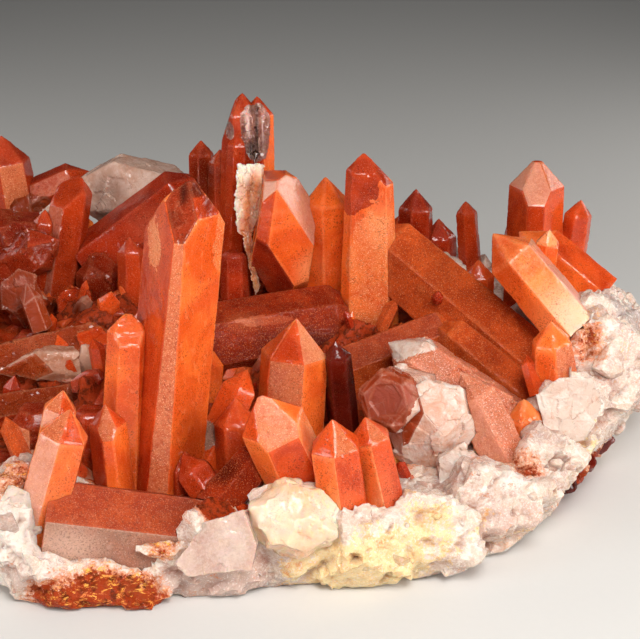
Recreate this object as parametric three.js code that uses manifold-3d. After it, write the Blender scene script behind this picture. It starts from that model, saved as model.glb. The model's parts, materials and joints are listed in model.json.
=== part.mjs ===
// Ironstone quartz cluster: a plate of milky quartz that carries a bed of rust-brown lying prisms
// and a crowd of standing orange quartz crystals, some of them broken.
//
// Millimetres, +Z up. The cluster rests on the level patch under its plate, and its best side faces -Y.
// Every crystal is the space inside a set of flat planes: six prism sides, six sloping end faces and a root.
// A joined group of crystals is one solid. Solids that only touch keep a narrow fitting gap.

import * as THREE from "three";
import { ConvexGeometry } from "three/addons/geometries/ConvexGeometry.js";
import { mergeVertices } from "three/addons/utils/BufferGeometryUtils.js";
import Module from "manifold-3d";

const wasm = await Module();
wasm.setup();

// ---------------------------------------------------------------- driving dimensions

const FITTING_GAP = 0.3; // between two solids that touch
const END_FACE_ANGLE = 51.8; // quartz: degrees from a crystal's axis to the normal of an end face
const ROOT_DEPTH = 2; // how far a crystal goes on below its root point
const FACES = 6; // prism sides, and end faces, of a quartz crystal
const FRONT_TILT = 24; // degrees above level of the direction that a crystal's side 0 is turned to
const SMALLEST_EDGE = 0.02; // corners closer than this are one corner
const SIMPLEST = 0.15; // slivers of the plate's surface thinner than this are closed up

const PLATE = {
  halfLength: 75, // along X, at half height
  front: 53, // from the middle to the front edge
  back: 50, // from the middle to the back edge
  top: 15, // height of the plate's upper face at the middle
  sides: 15, // flat facets round the plate's edge
  undercut: 12, // least degrees by which the edge leans in towards the foot
  undercutMore: 22, // most degrees added to that, facet by facet
  wander: 0.1, // most that a facet of the edge stands back, as a share of its reach
  frontFall: 5, // degrees by which the upper face falls to the front
  seed: 6,
};

// Where the rim's right front rises clear of the resting plane. around: degrees from +X to +Y.
// foot: how far from the middle the slope starts. lean: degrees by which it leans outwards.
const UNDERCUTS = [
  { around: -55, foot: 58.5, lean: 48 },
  { around: -42, foot: 60, lean: 45 },
  { around: -28, foot: 62, lean: 27 },
  { around: -6, foot: 73, lean: 28 },
];

const RIM = {
  count: 10, // lumps along the rim that no crystal stands on
  from: 55, // degrees round from +X, over the back
  to: 245, // to the left end's front
  size: 11, // mean half size of a lump
  height: 8, // mean height of a lump's centre
  seed: 17,
};

// ---------------------------------------------------------------- materials

const FINISH = {
  orange: new THREE.MeshStandardMaterial({ color: 0xd9501e, roughness: 0.28, metalness: 0 }),
  rust: new THREE.MeshStandardMaterial({ color: 0x8c3a20, roughness: 0.45, metalness: 0 }),
  clear: new THREE.MeshStandardMaterial({ color: 0xb98a76, roughness: 0.22, metalness: 0 }),
  milky: new THREE.MeshStandardMaterial({ color: 0xf0e2cc, roughness: 0.55, metalness: 0 }),
};

// ---------------------------------------------------------------- plane-bounded solids

const radians = THREE.MathUtils.degToRad;
const RESTING_PLANE = { normal: new THREE.Vector3(0, 0, -1), offset: 0 };

/** The corners of the space inside planes {normal, offset}: each is where three planes meet. */
function cornersInside(planes) {
  const corners = [];
  const cross = new THREE.Vector3();
  for (let i = 0; i < planes.length; i++) {
    for (let j = i + 1; j < planes.length; j++) {
      for (let k = j + 1; k < planes.length; k++) {
        const [a, b, c] = [planes[i], planes[j], planes[k]];
        const det = a.normal.dot(cross.crossVectors(b.normal, c.normal));
        if (Math.abs(det) < 1e-6) continue;
        const corner = new THREE.Vector3()
          .addScaledVector(new THREE.Vector3().crossVectors(b.normal, c.normal), a.offset)
          .addScaledVector(new THREE.Vector3().crossVectors(c.normal, a.normal), b.offset)
          .addScaledVector(new THREE.Vector3().crossVectors(a.normal, b.normal), c.offset)
          .divideScalar(det);
        const inside = planes.every((p) => p.normal.dot(corner) <= p.offset + 1e-6);
        const known = corners.some((q) => q.distanceTo(corner) < SMALLEST_EDGE);
        if (inside && !known) corners.push(corner);
      }
    }
  }
  return corners;
}

/** A manifold-3d solid from a closed three.js geometry. */
function solidFrom(geometry) {
  const bare = new THREE.BufferGeometry();
  bare.setAttribute("position", geometry.getAttribute("position"));
  const merged = mergeVertices(bare, 1e-3);
  return new wasm.Manifold(
    new wasm.Mesh({
      numProp: 3,
      vertProperties: merged.getAttribute("position").array,
      triVerts: new Uint32Array(merged.index.array),
    }),
  );
}

/** The solid inside planes, each moved outwards by grow. */
function solidInside(planes, grow = 0) {
  const moved = planes.map((p) => ({ normal: p.normal, offset: p.offset + grow }));
  return solidFrom(new ConvexGeometry(cornersInside(moved)));
}

/** The biggest of a solid's separate bodies, so that no splinter floats beside it. */
function biggestBody(solid) {
  const bodies = solid.decompose();
  return bodies.reduce((most, body) => (body.volume() > most.volume() ? body : most));
}

/** A solid's triangles as a three.js geometry, in coordinates that start at origin. */
function geometryOf(solid, origin) {
  const mesh = solid.getMesh();
  const positions = new Float32Array(mesh.numVert * 3);
  for (let i = 0; i < mesh.numVert; i++) {
    for (let axis = 0; axis < 3; axis++) {
      const value = mesh.vertProperties[i * mesh.numProp + axis];
      positions[i * 3 + axis] = value - origin.getComponent(axis);
    }
  }
  const geometry = new THREE.BufferGeometry();
  geometry.setAttribute("position", new THREE.BufferAttribute(positions, 3));
  geometry.setIndex(new THREE.BufferAttribute(new Uint32Array(mesh.triVerts), 1));
  const flat = geometry.toNonIndexed();
  flat.computeVertexNormals();
  return flat;
}

// ---------------------------------------------------------------- a quartz crystal

/**
 * The planes of one quartz crystal that grows from root to tip.
 * across: width between opposite sides. spin: degrees that side 0 is turned from the front towards +X.
 * sides: how far each side stands out, as a share of half of across. ends: how much deeper than the tip
 * each end face cuts, in mm. taper: degrees by which the sides close towards the tip.
 * cuts: fracture planes, each {along, face, set}: a direction as [right, forward, up the axis] and its
 * distance from the tip. sink: how far the root goes on below the root point.
 */
function crystalPlanes(shape) {
  const { root, tip, across, spin = 0, sides = [], ends = [], cuts = [] } = shape;
  const { taper = 0.8, tapers = [], sink = ROOT_DEPTH } = shape;
  const start = new THREE.Vector3(...root);
  const end = new THREE.Vector3(...tip);
  const axis = end.clone().sub(start).normalize();
  const tilt = radians(FRONT_TILT);
  const front = new THREE.Vector3(0, -Math.cos(tilt), Math.sin(tilt));
  front.addScaledVector(axis, -front.dot(axis)).normalize();
  const right = new THREE.Vector3().crossVectors(axis, front);
  const outwards = (degrees) =>
    new THREE.Vector3()
      .addScaledVector(front, Math.cos(radians(degrees)))
      .addScaledVector(right, Math.sin(radians(degrees)));
  const planeAt = (normal, point, further) => ({ normal, offset: normal.dot(point) + further });

  const planes = [];
  for (let k = 0; k < FACES; k++) {
    const out = outwards(spin + (360 / FACES) * k);
    const closing = radians(tapers[k] ?? taper);
    const side = out.clone().multiplyScalar(Math.cos(closing)).addScaledVector(axis, Math.sin(closing));
    planes.push(planeAt(side, start, (across / 2) * (sides[k] ?? 1)));
    const face = out.clone().multiplyScalar(Math.sin(radians(END_FACE_ANGLE)));
    face.addScaledVector(axis, Math.cos(radians(END_FACE_ANGLE)));
    planes.push(planeAt(face, end, -(ends[k] ?? 0)));
  }
  for (const { face, set } of cuts) {
    const normal = new THREE.Vector3()
      .addScaledVector(right, face[0])
      .addScaledVector(front, face[1])
      .addScaledVector(axis, face[2])
      .normalize();
    planes.push(planeAt(normal, end, -set));
  }
  planes.push(planeAt(axis.clone().negate(), start, sink));
  return planes;
}

// ---------------------------------------------------------------- broken rock

/** A repeatable stream of numbers from 0 to 1. */
function seeded(seed) {
  let state = (seed * 2654435761 + 12345) >>> 0;
  return () => {
    state = (Math.imul(state, 1664525) + 1013904223) >>> 0;
    return state / 4294967296;
  };
}

/** Planes of a broken chunk at centre with half sizes radii: fracture faces spread over a ball. */
function chunkPlanes({ centre, radii, seed = 1, faces = 10, rough = 0.22, turn = 0 }) {
  const random = seeded(seed);
  const middle = new THREE.Vector3(...centre);
  const golden = Math.PI * (3 - Math.sqrt(5));
  const planes = [];
  for (let i = 0; i < faces; i++) {
    const up = 1 - (2 * i + 1) / faces;
    const round = Math.sqrt(1 - up * up);
    const around = golden * i + random() * 0.9;
    const direction = new THREE.Vector3(Math.cos(around) * round, Math.sin(around) * round, up);
    direction.x += (random() - 0.5) * 0.35;
    direction.y += (random() - 0.5) * 0.35;
    direction.z += (random() - 0.5) * 0.35;
    direction.normalize();
    const reach = 0.88 * (1 - rough * random());
    // A plane that touches the unit ball at direction, once the ball is stretched to radii.
    const normal = new THREE.Vector3(direction.x / radii[0], direction.y / radii[1], direction.z / radii[2]);
    const size = normal.length();
    normal.divideScalar(size);
    const distance = reach / size;
    normal.applyAxisAngle(new THREE.Vector3(0, 0, 1), radians(turn));
    planes.push({ normal, offset: normal.dot(middle) + distance });
  }
  return planes;
}

/** Planes of the plate: a low drum with an uneven, faceted edge that leans in towards its foot. */
function platePlanes() {
  const random = seeded(PLATE.seed);
  const planes = [];
  for (let i = 0; i < PLATE.sides; i++) {
    const around = (2 * Math.PI * (i + random())) / PLATE.sides;
    const lean = radians(PLATE.undercut + PLATE.undercutMore * random());
    const [x, y] = [Math.cos(around), Math.sin(around)];
    const reachY = y < 0 ? PLATE.front : PLATE.back;
    const reach = Math.hypot(x * PLATE.halfLength, y * reachY) * (1 - PLATE.wander * random());
    const normal = new THREE.Vector3(x * Math.cos(lean), y * Math.cos(lean), -Math.sin(lean));
    const half = new THREE.Vector3(x * reach, y * reach, PLATE.top / 2);
    planes.push({ normal, offset: normal.dot(half) });
  }
  const fall = radians(PLATE.frontFall);
  const up = new THREE.Vector3(0, -Math.sin(fall), Math.cos(fall));
  planes.push({ normal: up, offset: PLATE.top * up.z });
  return planes;
}

// ---------------------------------------------------------------- what the cluster holds

// Each group is one solid: its members grow into one another. A group that comes earlier keeps its
// whole shape, and later ones are cut back round it. Points are in mm from the plate's middle.
const GROUPS = [
  {
    name: "tall_front_crystals",
    finish: "orange",
    members: [
      {
        root: [-9.7, -33.5, 9],
        tip: [-3.7, -27.8, 62.6],
        across: 11,
        spin: -0.8,
        sides: [1.34, 0.93, 1.07, 1.2, 1.27, 0.93],
        ends: [-1.3, -0.6, -0.1, 0.2, 0.8, -1.7],
        tapers: [-1.3, 0.4, 0.4, 0.4, 0.4, 0.4],
      },
      { root: [-16.4, -35, 9], tip: [-14.2, -31, 41], across: 6.4, spin: 14, ends: [1] },
    ],
  },
  {
    name: "small_front_crystal",
    finish: "orange",
    members: [{ root: [-16.8, -39, 9], tip: [-18, -37, 26.8], across: 5.6, spin: 4, sides: [1.45] }],
  },
  {
    name: "front_left_pair",
    finish: "orange",
    members: [
      { root: [-29, -45.5, 8], tip: [-24, -41.6, 31.6], across: 5.4, spin: -20 },
      { root: [-29.4, -48, 7], tip: [-22.4, -45.4, 30.2], across: 7.6, spin: -26 },
    ],
  },
  {
    name: "centre_crystal",
    finish: "orange",
    members: [{ root: [11.6, -22, 12], tip: [13, -20, 34.6], across: 10.4, spin: -12 }],
  },
  {
    name: "leaning_front_crystal",
    finish: "orange",
    members: [{ root: [15, -39.6, 11], tip: [7.4, -44, 32], across: 9.6, spin: 4, ends: [1] }],
  },
  {
    name: "front_twin_crystals",
    finish: "orange",
    members: [
      { root: [21.2, -46, 10], tip: [18.9, -46, 28.6], across: 7.6, spin: 24 },
      { root: [28, -43.5, 10], tip: [24.2, -43, 27.6], across: 6.2, spin: 28 },
    ],
  },
  {
    name: "shaded_small_crystal",
    finish: "clear",
    members: [{ root: [21.4, -21.5, 12], tip: [19.6, -21.5, 31], across: 4.6 }],
  },
  {
    name: "broad_standing_crystal",
    finish: "orange",
    members: [
      {
        root: [26.2, 6.5, 15],
        tip: [25.9, 9, 55.8],
        across: 9.9,
        spin: -4,
        sides: [0.7],
        ends: [1.4, 1.4, 1.4],
        taper: 2.2,
      },
    ],
  },
  {
    name: "back_spire",
    finish: "orange",
    members: [
      {
        root: [0.6, 27, 14],
        tip: [2.2, 30, 59.2],
        across: 7.2,
        spin: 8,
        cuts: [{ face: [-1, 0, 0.3], set: -0.75 }],
      },
      { root: [4.6, 27.5, 14], tip: [5, 30.6, 58.4], across: 6.4, spin: -6 },
      { root: [-0.4, 24, 14], tip: [1.4, 26.6, 52.4], across: 4.2, spin: 14 },
      { root: [-6.2, 31, 14], tip: [-6.2, 34.4, 48.4], across: 5, spin: 20 },
      { root: [-2.6, 29.4, 14], tip: [-2.4, 31.6, 47.4], across: 4.6, spin: 8 },
    ],
  },
  {
    name: "pale_back_slab",
    finish: "clear",
    members: [
      {
        root: [4.2, 17.6, 18],
        tip: [3.6, 18.6, 51.2],
        across: 5.2,
        spin: 2,
        sides: [0.6],
        cuts: [{ face: [0, 0.2, 1], set: 1.6 }],
      },
    ],
  },
  {
    name: "faceted_back_crystals",
    finish: "orange",
    members: [
      {
        root: [6.7, 22.1, 31.4],
        tip: [9.3, 8, 48.1],
        across: 10.4,
        spin: 39,
        sides: [2.4, 1.6, 1.3, 1.9, 0.5, 1.32],
        ends: [0, 0.2, -2, -1, 0, -0.2],
      },
      { root: [18.8, 16.5, 16], tip: [18, 18, 46.6], across: 8.2, spin: 20 },
    ],
  },
  {
    name: "bed_block_crystal",
    finish: "orange",
    members: [{ root: [1, 15, 13], tip: [0.8, 17, 34], across: 4.8, cuts: [{ face: [0, 0, 1], set: 2 }] }],
  },
  {
    name: "right_crystal_group",
    finish: "orange",
    members: [
      {
        root: [58.6, 24, 16],
        tip: [58.6, 27, 47.6],
        across: 9.6,
        spin: -6,
        sides: [1.4],
        cuts: [{ face: [0, 0, 1], set: 1 }],
      },
      { root: [64.6, 25, 16], tip: [67.4, 27, 38.8], across: 5.2, spin: 10 },
    ],
  },
  {
    name: "right_low_crystals",
    finish: "orange",
    members: [
      { root: [61, 13, 20], tip: [60.4, 17, 37], across: 5.8, spin: -8, ends: [1.4] },
      { root: [67, 5.6, 28.6], tip: [54, 12, 38], across: 8.6, spin: -20, sink: 2 },
    ],
  },
  {
    name: "leaning_right_crystal",
    finish: "orange",
    members: [{ root: [61, -8, 28.6], tip: [47.6, -2.8, 43.4], across: 8.6, spin: 10, sink: 1.5 }],
  },
  {
    name: "right_wedge_crystal",
    finish: "orange",
    members: [{ root: [59, -16, 13], tip: [56.8, -16.5, 32.4], across: 9.2, spin: 30, taper: 6 }],
  },
  {
    name: "big_lying_prism",
    finish: "rust",
    members: [
      { root: [60, -6, 13], tip: [24, 15, 38.2], across: 13.4, spin: 30, sink: 4 },
      { root: [41, 5, 26], tip: [41.4, 3.4, 33.2], across: 2, sink: 1 },
    ],
  },
  {
    name: "crossing_prism",
    finish: "rust",
    members: [{ root: [12, -9, 15], tip: [44, 0.5, 24.5], across: 9, spin: 30 }],
  },
  {
    name: "low_lying_prism",
    finish: "rust",
    members: [{ root: [58, -14, 12], tip: [37, -2, 26], across: 8, spin: 30 }],
  },
  {
    name: "broad_lying_prism",
    finish: "rust",
    members: [{ root: [-10, 2, 18.6], tip: [32, 9, 23.4], across: 13, spin: 4, ends: [3, 3, 3, 3, 3, 3] }],
  },
  {
    name: "lying_front_prism",
    finish: "rust",
    members: [{ root: [-26, -47.6, 11.4], tip: [5, -45.8, 6.2], across: 12.4, spin: 26, sink: 1 }],
  },
  {
    name: "diagonal_front_prism",
    finish: "rust",
    members: [{ root: [-2.4, -45, 9], tip: [9, -37.5, 20], across: 6.4, spin: 20 }],
  },
  {
    name: "front_stub_crystals",
    finish: "rust",
    members: [
      { root: [-5.4, -38, 9], tip: [-5.6, -37, 18.6], across: 5, spin: 10 },
      { root: [1.5, -43, 9], tip: [-5.6, -38.4, 18.4], across: 5.4, spin: 30 },
    ],
  },
  {
    name: "centre_bed_crystals",
    finish: "orange",
    members: [
      { root: [-2.6, -30, 11], tip: [4.6, -22, 26], across: 6, spin: 30 },
      { root: [3.6, -32.5, 10], tip: [2.8, -30, 24.4], across: 6.6, spin: 0 },
    ],
  },
  {
    name: "back_left_crystals",
    finish: "orange",
    members: [
      { root: [-35.6, 26.5, 15], tip: [-30.6, 32, 43.4], across: 7.4, spin: 20, ends: [0, 0, 0, 0, 0, 2] },
      { root: [-38.4, 26, 15], tip: [-36.6, 29, 36], across: 4.4, spin: 10 },
    ],
  },
  {
    name: "back_lying_crystal",
    finish: "orange",
    members: [{ root: [-27, 30, 25], tip: [-5, 33, 41.6], across: 10.5, spin: 0 }],
  },
  {
    name: "pale_back_rock",
    finish: "milky",
    chunks: [{ centre: [-20.6, 41, 35.6], radii: [12, 6, 7.4], seed: 5, faces: 14, turn: -8 }],
  },
  {
    name: "far_left_crystals",
    finish: "orange",
    members: [
      { root: [-43.6, 42, 20], tip: [-47, 44.6, 46], across: 9, spin: 20 },
      { root: [-52, 42, 29], tip: [-30, 46, 38], across: 6.4, spin: 0 },
    ],
  },
  {
    name: "far_left_slabs",
    finish: "rust",
    members: [{ root: [-52, 26, 22], tip: [-33, 23.6, 32], across: 8.4, spin: 20 }],
    chunks: [{ centre: [-42, 28.6, 31], radii: [8, 5, 4.6], seed: 8, turn: 10 }],
  },
  {
    name: "left_bed_slab",
    finish: "rust",
    members: [{ root: [-50, -6, 15], tip: [-19, 2, 21], across: 9.4, spin: 30 }],
  },
  {
    name: "left_lower_slab",
    finish: "rust",
    members: [{ root: [-46, -18, 13], tip: [-21.4, -17, 17.4], across: 8, spin: 24 }],
  },
  {
    name: "left_dark_block",
    finish: "rust",
    members: [
      {
        root: [-31, -27, 9],
        tip: [-31, -27, 24],
        across: 8,
        spin: 20,
        cuts: [{ face: [0, 0, 1], set: 3 }],
      },
    ],
  },
  {
    name: "left_upright_block",
    finish: "rust",
    members: [
      {
        root: [-21, -33, 9],
        tip: [-21, -31, 26],
        across: 6,
        spin: 10,
        cuts: [{ face: [0, 0, 1], set: 3 }],
      },
    ],
  },
  {
    name: "left_bed_fragment",
    finish: "clear",
    chunks: [{ centre: [-31, -9, 21], radii: [6, 3.4, 3.4], seed: 31, turn: 12 }],
  },
  {
    name: "left_bed_crystal",
    finish: "orange",
    members: [{ root: [-18.4, 14, 14], tip: [-19, 17, 35], across: 4.8, spin: 14 }],
  },
  {
    name: "left_bed_lump",
    finish: "rust",
    members: [
      {
        root: [-25, 21, 14],
        tip: [-26, 23, 30.6],
        across: 8,
        cuts: [{ face: [0.3, 0.5, 1], set: 2 }],
      },
    ],
  },
  {
    name: "broken_clear_block",
    finish: "clear",
    members: [
      {
        root: [34, -18, 19],
        tip: [26, -34, 25.5],
        across: 9.4,
        spin: 10,
        taper: 0,
        cuts: [{ face: [0, 0, 1], set: 4.6 }],
      },
    ],
    chunks: [{ centre: [36.4, -27, 17.6], radii: [7.6, 6, 9.6], seed: 40, faces: 18, rough: 0.12 }],
  },
  {
    name: "right_rim_crystal",
    finish: "orange",
    members: [{ root: [53, -23.5, 8], tip: [52, -22.5, 20.6], across: 5.6, spin: 10 }],
  },
  {
    name: "dusty_prism",
    finish: "rust",
    members: [{ root: [54, -21, 12], tip: [29, -13, 27], across: 9, spin: 20 }],
  },
  {
    name: "red_wedge",
    finish: "orange",
    members: [{ root: [51, -30, 8], tip: [41, -24, 26.4], across: 7.6, spin: 30 }],
  },
  {
    name: "back_right_crystals",
    finish: "orange",
    members: [
      { root: [36, 36, 17], tip: [36.2, 38.6, 36.8], across: 6.4, spin: 14 },
      { root: [41.4, 37, 17], tip: [41, 40, 30], across: 6, spin: 0 },
    ],
  },
  {
    name: "back_right_sliver",
    finish: "orange",
    members: [{ root: [47.6, 34, 17], tip: [46, 36.4, 35], across: 4, spin: 10 }],
  },
  {
    name: "back_right_block",
    finish: "orange",
    members: [{ root: [47.8, 24, 14], tip: [47.8, 24, 27.6], across: 5.6 }],
  },
  {
    name: "left_end_crystals",
    finish: "orange",
    members: [
      { root: [-57, -8, 12], tip: [-61, -11, 47], across: 9, spin: 12 },
      { root: [-62, -3, 12], tip: [-69, -4, 35], across: 6.4, spin: -10 },
    ],
  },
  {
    name: "left_end_back_crystals",
    finish: "orange",
    members: [
      { root: [-60, 22, 12], tip: [-64, 24, 39], across: 7.6, spin: 4 },
      { root: [-65, 19, 12], tip: [-73, 20, 30], across: 5.8, spin: 20 },
    ],
  },
  {
    name: "left_front_crystals",
    finish: "orange",
    members: [
      { root: [-53, -35, 9], tip: [-57, -41, 32], across: 7.6, spin: -14 },
      { root: [-49, -39, 9], tip: [-48.6, -44, 22], across: 5, spin: 10 },
    ],
  },
  {
    name: "left_end_prism",
    finish: "rust",
    members: [{ root: [-50, 12, 15], tip: [-72, -14, 17], across: 10, spin: 10 }],
  },
  {
    name: "left_front_prism",
    finish: "rust",
    members: [{ root: [-72, -26, 11], tip: [-42, -30, 14], across: 9, spin: 10 }],
  },
  {
    name: "back_middle_crystals",
    finish: "orange",
    members: [
      { root: [8, 44, 12], tip: [11, 52, 29], across: 7, spin: 10 },
      { root: [2, 46, 10], tip: [0, 54, 22], across: 5.4, spin: 30 },
    ],
  },
  {
    name: "back_left_leaning_crystal",
    finish: "orange",
    members: [{ root: [-11, 46, 12], tip: [-14, 55, 31], across: 6.6, spin: 0 }],
  },
  {
    name: "back_corner_crystals",
    finish: "orange",
    members: [
      { root: [30, 44, 12], tip: [34, 53, 26], across: 6.8, spin: 20 },
      { root: [36, 44, 12], tip: [42, 51, 22], across: 5, spin: 0 },
    ],
  },
  {
    name: "back_right_leaning_crystal",
    finish: "orange",
    members: [{ root: [55, 36, 12], tip: [60, 45, 31], across: 7, spin: 10 }],
  },
  {
    name: "back_lying_prism",
    finish: "rust",
    members: [{ root: [30, 41, 14], tip: [-6, 40, 21], across: 9, spin: 20 }],
  },
];

// Broken lumps of milky quartz, fused to the plate: along its front rim, and banked up behind.
const LUMPS = [
  { centre: [-31, -48, 8], radii: [10, 8, 9], seed: 3 },
  { centre: [-27.3, -52.6, 5.4], radii: [6.4, 5, 5.2], seed: 4 },
  { centre: [-34, -39, 10], radii: [5, 4, 6], seed: 6 },
  { centre: [-17, -50, 2.2], radii: [17, 8.4, 5], seed: 2 },
  { centre: [0.4, -50.6, 7.2], radii: [8.6, 4.8, 9], seed: 7, faces: 9, rough: 0.12 },
  { centre: [12, -48.2, 10.2], radii: [9.2, 6.2, 8.8], seed: 9, faces: 26, rough: 0.06 },
  { centre: [23, -48, 6.6], radii: [10, 6.4, 9], seed: 12 },
  { centre: [33, -43, 7], radii: [12, 7, 8], seed: 14 },
  { centre: [44, -36, 8], radii: [11, 8, 9], seed: 16 },
  { centre: [53, -27, 9], radii: [9, 9, 9], seed: 18 },
  { centre: [60, -17, 14], radii: [8, 7, 11], seed: 19 },
  { centre: [66, -10, 18], radii: [8, 8, 15], seed: 20 },
  { centre: [66, -5, 22], radii: [7, 7, 12], seed: 21 },
  { centre: [71, 0, 16], radii: [9, 9, 15], seed: 22 },
  { centre: [72, 14, 14], radii: [9, 11, 14], seed: 24 },
  { centre: [62, 24, 13], radii: [12, 12, 13], seed: 26 },
  { centre: [42, 36, 12], radii: [16, 11, 13], seed: 28 },
  { centre: [12, 34, 12], radii: [18, 12, 13], seed: 30 },
  { centre: [-22, 36, 18], radii: [18, 12, 15], seed: 32 },
  { centre: [-44, 34, 16], radii: [12, 12, 14], seed: 34 },
  { centre: [-26, 6, 13], radii: [22, 22, 9], seed: 36, faces: 20 },
  { centre: [18, 8, 12], radii: [30, 22, 9], seed: 38, faces: 20 },
  { centre: [24, 4, 15], radii: [15, 9, 10], seed: 39 },
  { centre: [-42, 18, 19], radii: [7, 5, 5], seed: 42 },
  { centre: [-29, 15, 19], radii: [5, 4, 4.4], seed: 43 },
  { centre: [-24, 6, 20], radii: [5.4, 4, 4.6], seed: 44 },
  { centre: [-20, 12, 20], radii: [4, 4, 5], seed: 45 },
  { centre: [-21, -22, 18], radii: [4, 2.6, 7], seed: 46 },
];

/** Lumps round the plate's left end and back, where the rim is even enough to be spaced by rule. */
function rimLumps() {
  const random = seeded(RIM.seed);
  const lumps = [];
  for (let i = 0; i < RIM.count; i++) {
    const around = radians(RIM.from + ((RIM.to - RIM.from) * i) / (RIM.count - 1));
    const size = RIM.size * (0.8 + 0.4 * random());
    const x = Math.cos(around) * (PLATE.halfLength - 0.6 * size);
    const y = Math.sin(around) * ((Math.sin(around) < 0 ? PLATE.front : PLATE.back) - 0.6 * size);
    const centre = [x, y, RIM.height * (0.8 + 0.4 * random())];
    lumps.push({ centre, radii: [size * 1.15, size * 0.9, size], seed: 50 + i });
  }
  return lumps;
}

// ---------------------------------------------------------------- assembly

const cluster = new THREE.Group();
const standing = [];

for (const { name, finish, members = [], chunks = [] } of GROUPS) {
  let solid = null;
  let grown = null;
  for (const planes of [...members.map(crystalPlanes), ...chunks.map(chunkPlanes)]) {
    const body = solidInside(planes);
    const wider = solidInside(planes, FITTING_GAP);
    solid = solid ? solid.add(body) : body;
    grown = grown ? grown.add(wider) : wider;
  }
  for (const earlier of standing) solid = solid.subtract(earlier.grown);
  const root = new THREE.Vector3(...(members[0]?.root ?? chunks[0].centre));
  standing.push({ name, finish, root, grown, solid: biggestBody(solid) });
}

// The plate and its lumps all end on the resting plane, and every crystal has its socket in them.
let plate = solidInside([...platePlanes(), RESTING_PLANE]);
for (const lump of [...LUMPS, ...rimLumps()]) {
  plate = plate.add(solidInside([...chunkPlanes(lump), RESTING_PLANE]));
}
for (const { around, foot, lean } of UNDERCUTS) {
  const inwards = new THREE.Vector3(-Math.cos(radians(around)), -Math.sin(radians(around)), 0);
  inwards.multiplyScalar(Math.cos(radians(lean)));
  inwards.z = Math.sin(radians(lean));
  plate = plate.trimByPlane(inwards.toArray(), -foot * Math.cos(radians(lean)));
}
for (const { grown } of standing) plate = plate.subtract(grown);
plate = biggestBody(plate.simplify(SIMPLEST));
standing.push({ name: "milky_quartz_plate", finish: "milky", root: new THREE.Vector3(), solid: plate });

for (const { name, finish, root, solid } of standing) {
  const mesh = new THREE.Mesh(geometryOf(solid, root), FINISH[finish]);
  mesh.name = name;
  mesh.position.copy(root);
  cluster.add(mesh);
}

// The origin is on the resting plane, under the middle of the whole cluster.
const box = new THREE.Box3().setFromObject(cluster);
cluster.position.set(-(box.min.x + box.max.x) / 2, -(box.min.y + box.max.y) / 2, -box.min.z);

export default cluster;
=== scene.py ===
"""Dresses the ironstone quartz cluster and sets it in a plain studio.

Every crystal stands for one CAD node and is cut from it, so that its faces lie
where the node's do. The milky quartz plate under them is one broken, sugary skin.
All lengths in the classes are millimetres in the row frame: +X along the plate's
long way, -Y towards the best side, +Z up, with the resting plane at zero.
"""

from __future__ import annotations

import itertools
import json
import logging
import math
from dataclasses import dataclass
from enum import Enum

import bpy
import numpy as np
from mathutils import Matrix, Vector

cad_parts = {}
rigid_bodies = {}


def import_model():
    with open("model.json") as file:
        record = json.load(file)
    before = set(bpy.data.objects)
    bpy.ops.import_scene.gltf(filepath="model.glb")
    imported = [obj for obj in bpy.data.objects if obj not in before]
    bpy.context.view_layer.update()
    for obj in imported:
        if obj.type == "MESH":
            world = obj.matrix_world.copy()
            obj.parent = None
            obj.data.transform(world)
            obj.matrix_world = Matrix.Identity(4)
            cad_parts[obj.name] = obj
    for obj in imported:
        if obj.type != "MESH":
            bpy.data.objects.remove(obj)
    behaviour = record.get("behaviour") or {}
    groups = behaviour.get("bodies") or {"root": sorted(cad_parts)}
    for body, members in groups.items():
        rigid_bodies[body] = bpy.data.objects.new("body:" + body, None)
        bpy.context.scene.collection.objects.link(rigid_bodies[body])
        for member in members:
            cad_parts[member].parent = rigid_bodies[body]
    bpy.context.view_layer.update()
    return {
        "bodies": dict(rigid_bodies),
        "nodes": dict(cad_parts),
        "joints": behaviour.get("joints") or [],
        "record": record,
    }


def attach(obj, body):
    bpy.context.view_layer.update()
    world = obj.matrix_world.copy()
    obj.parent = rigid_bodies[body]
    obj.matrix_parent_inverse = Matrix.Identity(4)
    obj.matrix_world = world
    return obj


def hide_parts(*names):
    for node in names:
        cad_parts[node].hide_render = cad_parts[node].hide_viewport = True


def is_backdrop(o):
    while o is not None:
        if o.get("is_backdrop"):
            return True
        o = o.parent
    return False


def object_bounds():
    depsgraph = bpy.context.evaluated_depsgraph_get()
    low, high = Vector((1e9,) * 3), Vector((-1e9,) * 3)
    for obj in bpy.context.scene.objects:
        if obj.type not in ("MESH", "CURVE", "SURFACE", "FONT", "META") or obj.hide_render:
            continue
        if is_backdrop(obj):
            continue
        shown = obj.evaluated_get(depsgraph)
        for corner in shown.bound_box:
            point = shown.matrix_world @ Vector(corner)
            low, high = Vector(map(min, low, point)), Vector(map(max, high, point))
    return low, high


LOG = logging.getLogger("quartz_cluster")
MM = 0.001
BODY = "root"
PLATE_HALF = (75.0, 54.0)  # half the plate's length and depth in plan
JOIN_STEP = 0.002  # corners that round to the same multiple of this are one
MOST_ROUNDS = 60  # the most often that a skin's edges are split
TINY = 1e-12  # keeps a length of zero out of a division
QUARTZ_IOR = 1.544
Colour = tuple[float, float, float]
Point = tuple[float, float, float]
Array = np.ndarray
Piece = bpy.types.Object
Material = bpy.types.Material
Socket = bpy.types.NodeSocket
Value = float | Socket
Tint = Colour | Socket


class Slot(Enum):
    """The record's material slots."""

    ORANGE = "orange_quartz"
    RUST = "rust_quartz"
    CLEAR = "clear_quartz"
    MILKY = "milky_quartz"


def mesh_size(size: float) -> float:
    return size * 1


def plan(points: Array) -> Array:
    """How far out points lie in plan, 1 at the rim: x and y over `PLATE_HALF`, squared, added and rooted."""
    return np.hypot(points[:, 0] / PLATE_HALF[0], points[:, 1] / PLATE_HALF[1])


# ---------------------------------------------------------------- random fields


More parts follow.
